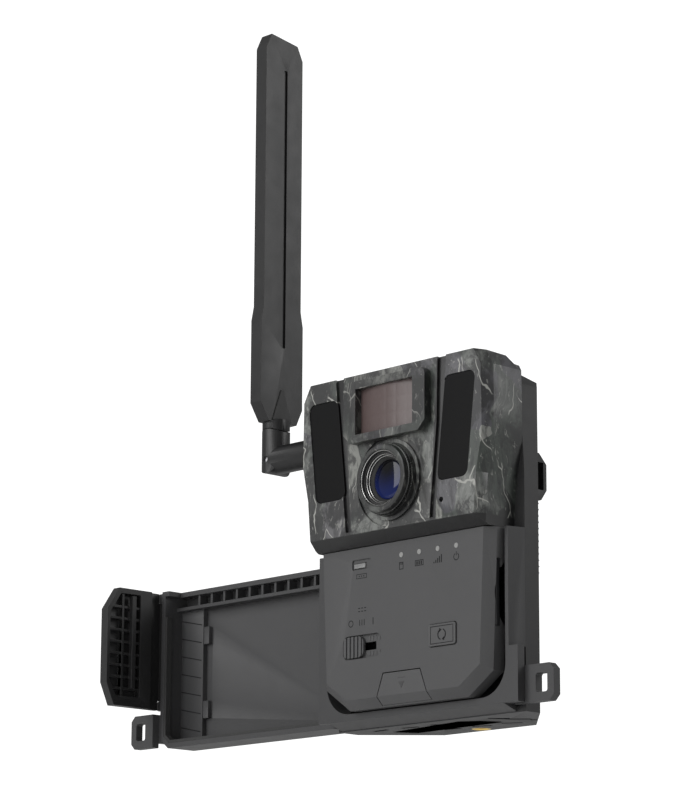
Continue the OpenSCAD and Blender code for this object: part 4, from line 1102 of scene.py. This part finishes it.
@dataclass
class Door:
    """The open door with its gasket, pins and latch."""

    land_x: float = -144.4
    land_y: float = 29.6
    land_half: float = 6.2
    grooves: int = 7
    groove_foot: float = 10.0
    groove_pitch: float = 7.2
    groove_half: float = 0.2
    groove_lean: float = 12.0

    def build(self) -> None:
        """Builds and dresses the door."""
        softened("door_shell", Body.DOOR, DOOR_GREY, 0.35)
        softened("door_latch", Body.LATCH, LATCH_GREY, 0.3)
        dressed(["door_gasket"], RUBBER)
        dressed(["hinge_pins", "latch_pin"], STEEL)
        self.land_grooves()

    def land_grooves(self) -> None:
        """Builds the slanted dark lines across the raised land inside the door, painted shade for its
        grooves.
        """
        mesh = bmesh.new()
        for k in range(self.grooves):
            z = self.groove_foot + self.groove_pitch * k
            low = spot(self.land_x - self.land_half, self.land_y - 0.06, z - self.groove_half)
            high = spot(self.land_x + self.land_half, self.land_y + 0.02, z + self.groove_half)
            add_block(mesh, low, high, self.groove_lean)
        # painted shade: flat dark strips stand for the shade in the land's grooves
        publish("land_grooves", closed(mesh, 1e-8), Body.DOOR, INK_AND_GROOVE_SHADE)


@dataclass
class Antenna:
    """The folding paddle antenna."""

    axis_x: float = -73.4
    axis_y: float = 10.0
    foot_z: float = 121.9
    thick: float = 6.0
    wedge_outline: Profile = ((-5.0, 0.6), (5.0, 0.6), (0.6, 13.0), (-0.6, 13.0))
    wedge_proud: float = 0.45

    def build(self) -> None:
        """Builds and dresses the antenna."""
        softened("antenna_elbow", Body.ELBOW, ANTENNA_BLACK, 0.35)
        softened("antenna_blade", Body.BLADE, ANTENNA_BLACK, 0.6, 3)
        dressed(["antenna_pin"], STEEL)
        dressed(["antenna_element"], CIRCUIT)
        self.wedge()

    def wedge(self) -> None:
        """Builds the shallow V above the antenna's foot, on both broad faces."""
        mesh = bmesh.new()
        for side in (-1, 1):
            x = self.axis_x + side * (self.thick / 2 - 0.01)
            places = [spot(x, self.axis_y + y, self.foot_z + z) for y, z in self.wedge_outline]
            corners = [mesh.verts.new(place) for place in places]
            face = bmesh.ops.contextual_create(mesh, geom=corners)["faces"]
            raised(mesh, face, (side * self.wedge_proud * MM, 0, 0))
        piece = publish("blade_wedges", closed(mesh, 1e-8), Body.BLADE, TRIM_BLACK)
        rounded(piece, 0.2, 2)


# ---------------------------------------------------------------- stage


@dataclass
class Studio:
    """The camera, the soft lights and the pale floor."""

    eye: tuple[float, float, float] = (0.7862, -0.8195, -0.1326)
    yaw: float = 0.8119145
    pitch: float = 0.2225343
    roll: float = 0.0050717
    lens: float = 136.06
    floor_z: float = -0.2
    floor_half: float = 6.0
    surround: float = 0.36
    backdrop: float = 0.8
    aim: tuple[float, float, float] = (0.0, -0.03, 0.09)

    def build(self) -> None:
        """Sets the stage."""
        self.camera()
        self.floor()
        self.world()
        self.light("key_light", (-0.35, -1.5, 0.75), 1.3, 26.0)
        self.light("rim_light", (1.3, 0.9, 0.9), 0.8, 10.0)
        self.light("low_fill", (0.5, -0.9, -0.12), 0.5, 2.2)

    def camera(self) -> None:
        """Places the camera at the viewing angle."""
        flat = math.cos(self.pitch)
        ahead = Vector((-math.sin(self.yaw) * flat, math.cos(self.yaw) * flat, math.sin(self.pitch)))
        right = Vector((math.cos(self.yaw), math.sin(self.yaw), 0.0))
        up = right.cross(ahead)
        side = math.cos(self.roll) * right + math.sin(self.roll) * up
        top = math.cos(self.roll) * up - math.sin(self.roll) * right
        data = bpy.data.cameras.new("view_camera")
        data.lens = self.lens
        data.sensor_width = 36.0
        data.clip_start = 0.01
        camera = placed("view_camera", data)
        turn = Matrix((side, top, -ahead)).transposed().to_4x4()
        camera.matrix_world = Matrix.Translation(self.eye) @ turn
        bpy.context.scene.camera = camera

    def floor(self) -> None:
        """Lays the pale floor."""
        mesh = bmesh.new()
        place = Matrix.Translation((0, 0, self.floor_z))
        bmesh.ops.create_grid(mesh, x_segments=1, y_segments=1, size=self.floor_half, matrix=place)
        data = bpy.data.meshes.new("floor")
        mesh.to_mesh(data)
        mesh.free()
        floor = placed("floor", data)
        material, tree, coordinate = new_material("pale_floor")
        shade = tree.mix(tree.noise(coordinate, 3.0), (0.84, 0.84, 0.84), (0.88, 0.88, 0.88))
        close_material(tree, {"Base Color": shade, "Roughness": 0.9}, None, 0.0)
        data.materials.append(material)

    def world(self) -> None:
        """Sets the soft white surroundings."""
        world = bpy.data.worlds.new("surroundings")
        world.use_nodes = True
        world.node_tree.nodes.clear()
        tree = Tree(world.node_tree)
        path = tree.add("ShaderNodeLightPath").outputs["Is Camera Ray"]
        strength = tree.math("ADD", self.surround, tree.math("MULTIPLY", path, self.backdrop))
        back = tree.add("ShaderNodeBackground", {"Color": (1.0, 1.0, 1.0), "Strength": strength})
        tree.add("ShaderNodeOutputWorld", {"Surface": back.outputs["Background"]})
        bpy.context.scene.world = world
        bpy.context.scene.view_settings.view_transform = "Standard"

    def light(self, name: str, place: tuple[float, float, float], size: float, power: float) -> None:
        """Adds a square soft light that faces the object.

        Args:
            name: The light's name.
            place: Where it stands, in metres.
            size: Its width in metres.
            power: Its power in watts.
        """
        data = bpy.data.lights.new(name, "AREA")
        data.size = size
        data.energy = power
        light = placed(name, data)
        aim = Vector(self.aim) - Vector(place)
        light.matrix_world = Matrix.Translation(place) @ aim.to_track_quat("-Z", "Y").to_matrix().to_4x4()


def main() -> None:
    """Builds every sub-assembly in order."""
    logging.basicConfig(level=logging.INFO, format="%(name)s: %(message)s")
    for part in (Studio(), Casing(), Optics(), Cartridge(), Door(), Antenna()):
        part.build()


if __name__ == "__main__":
    main()
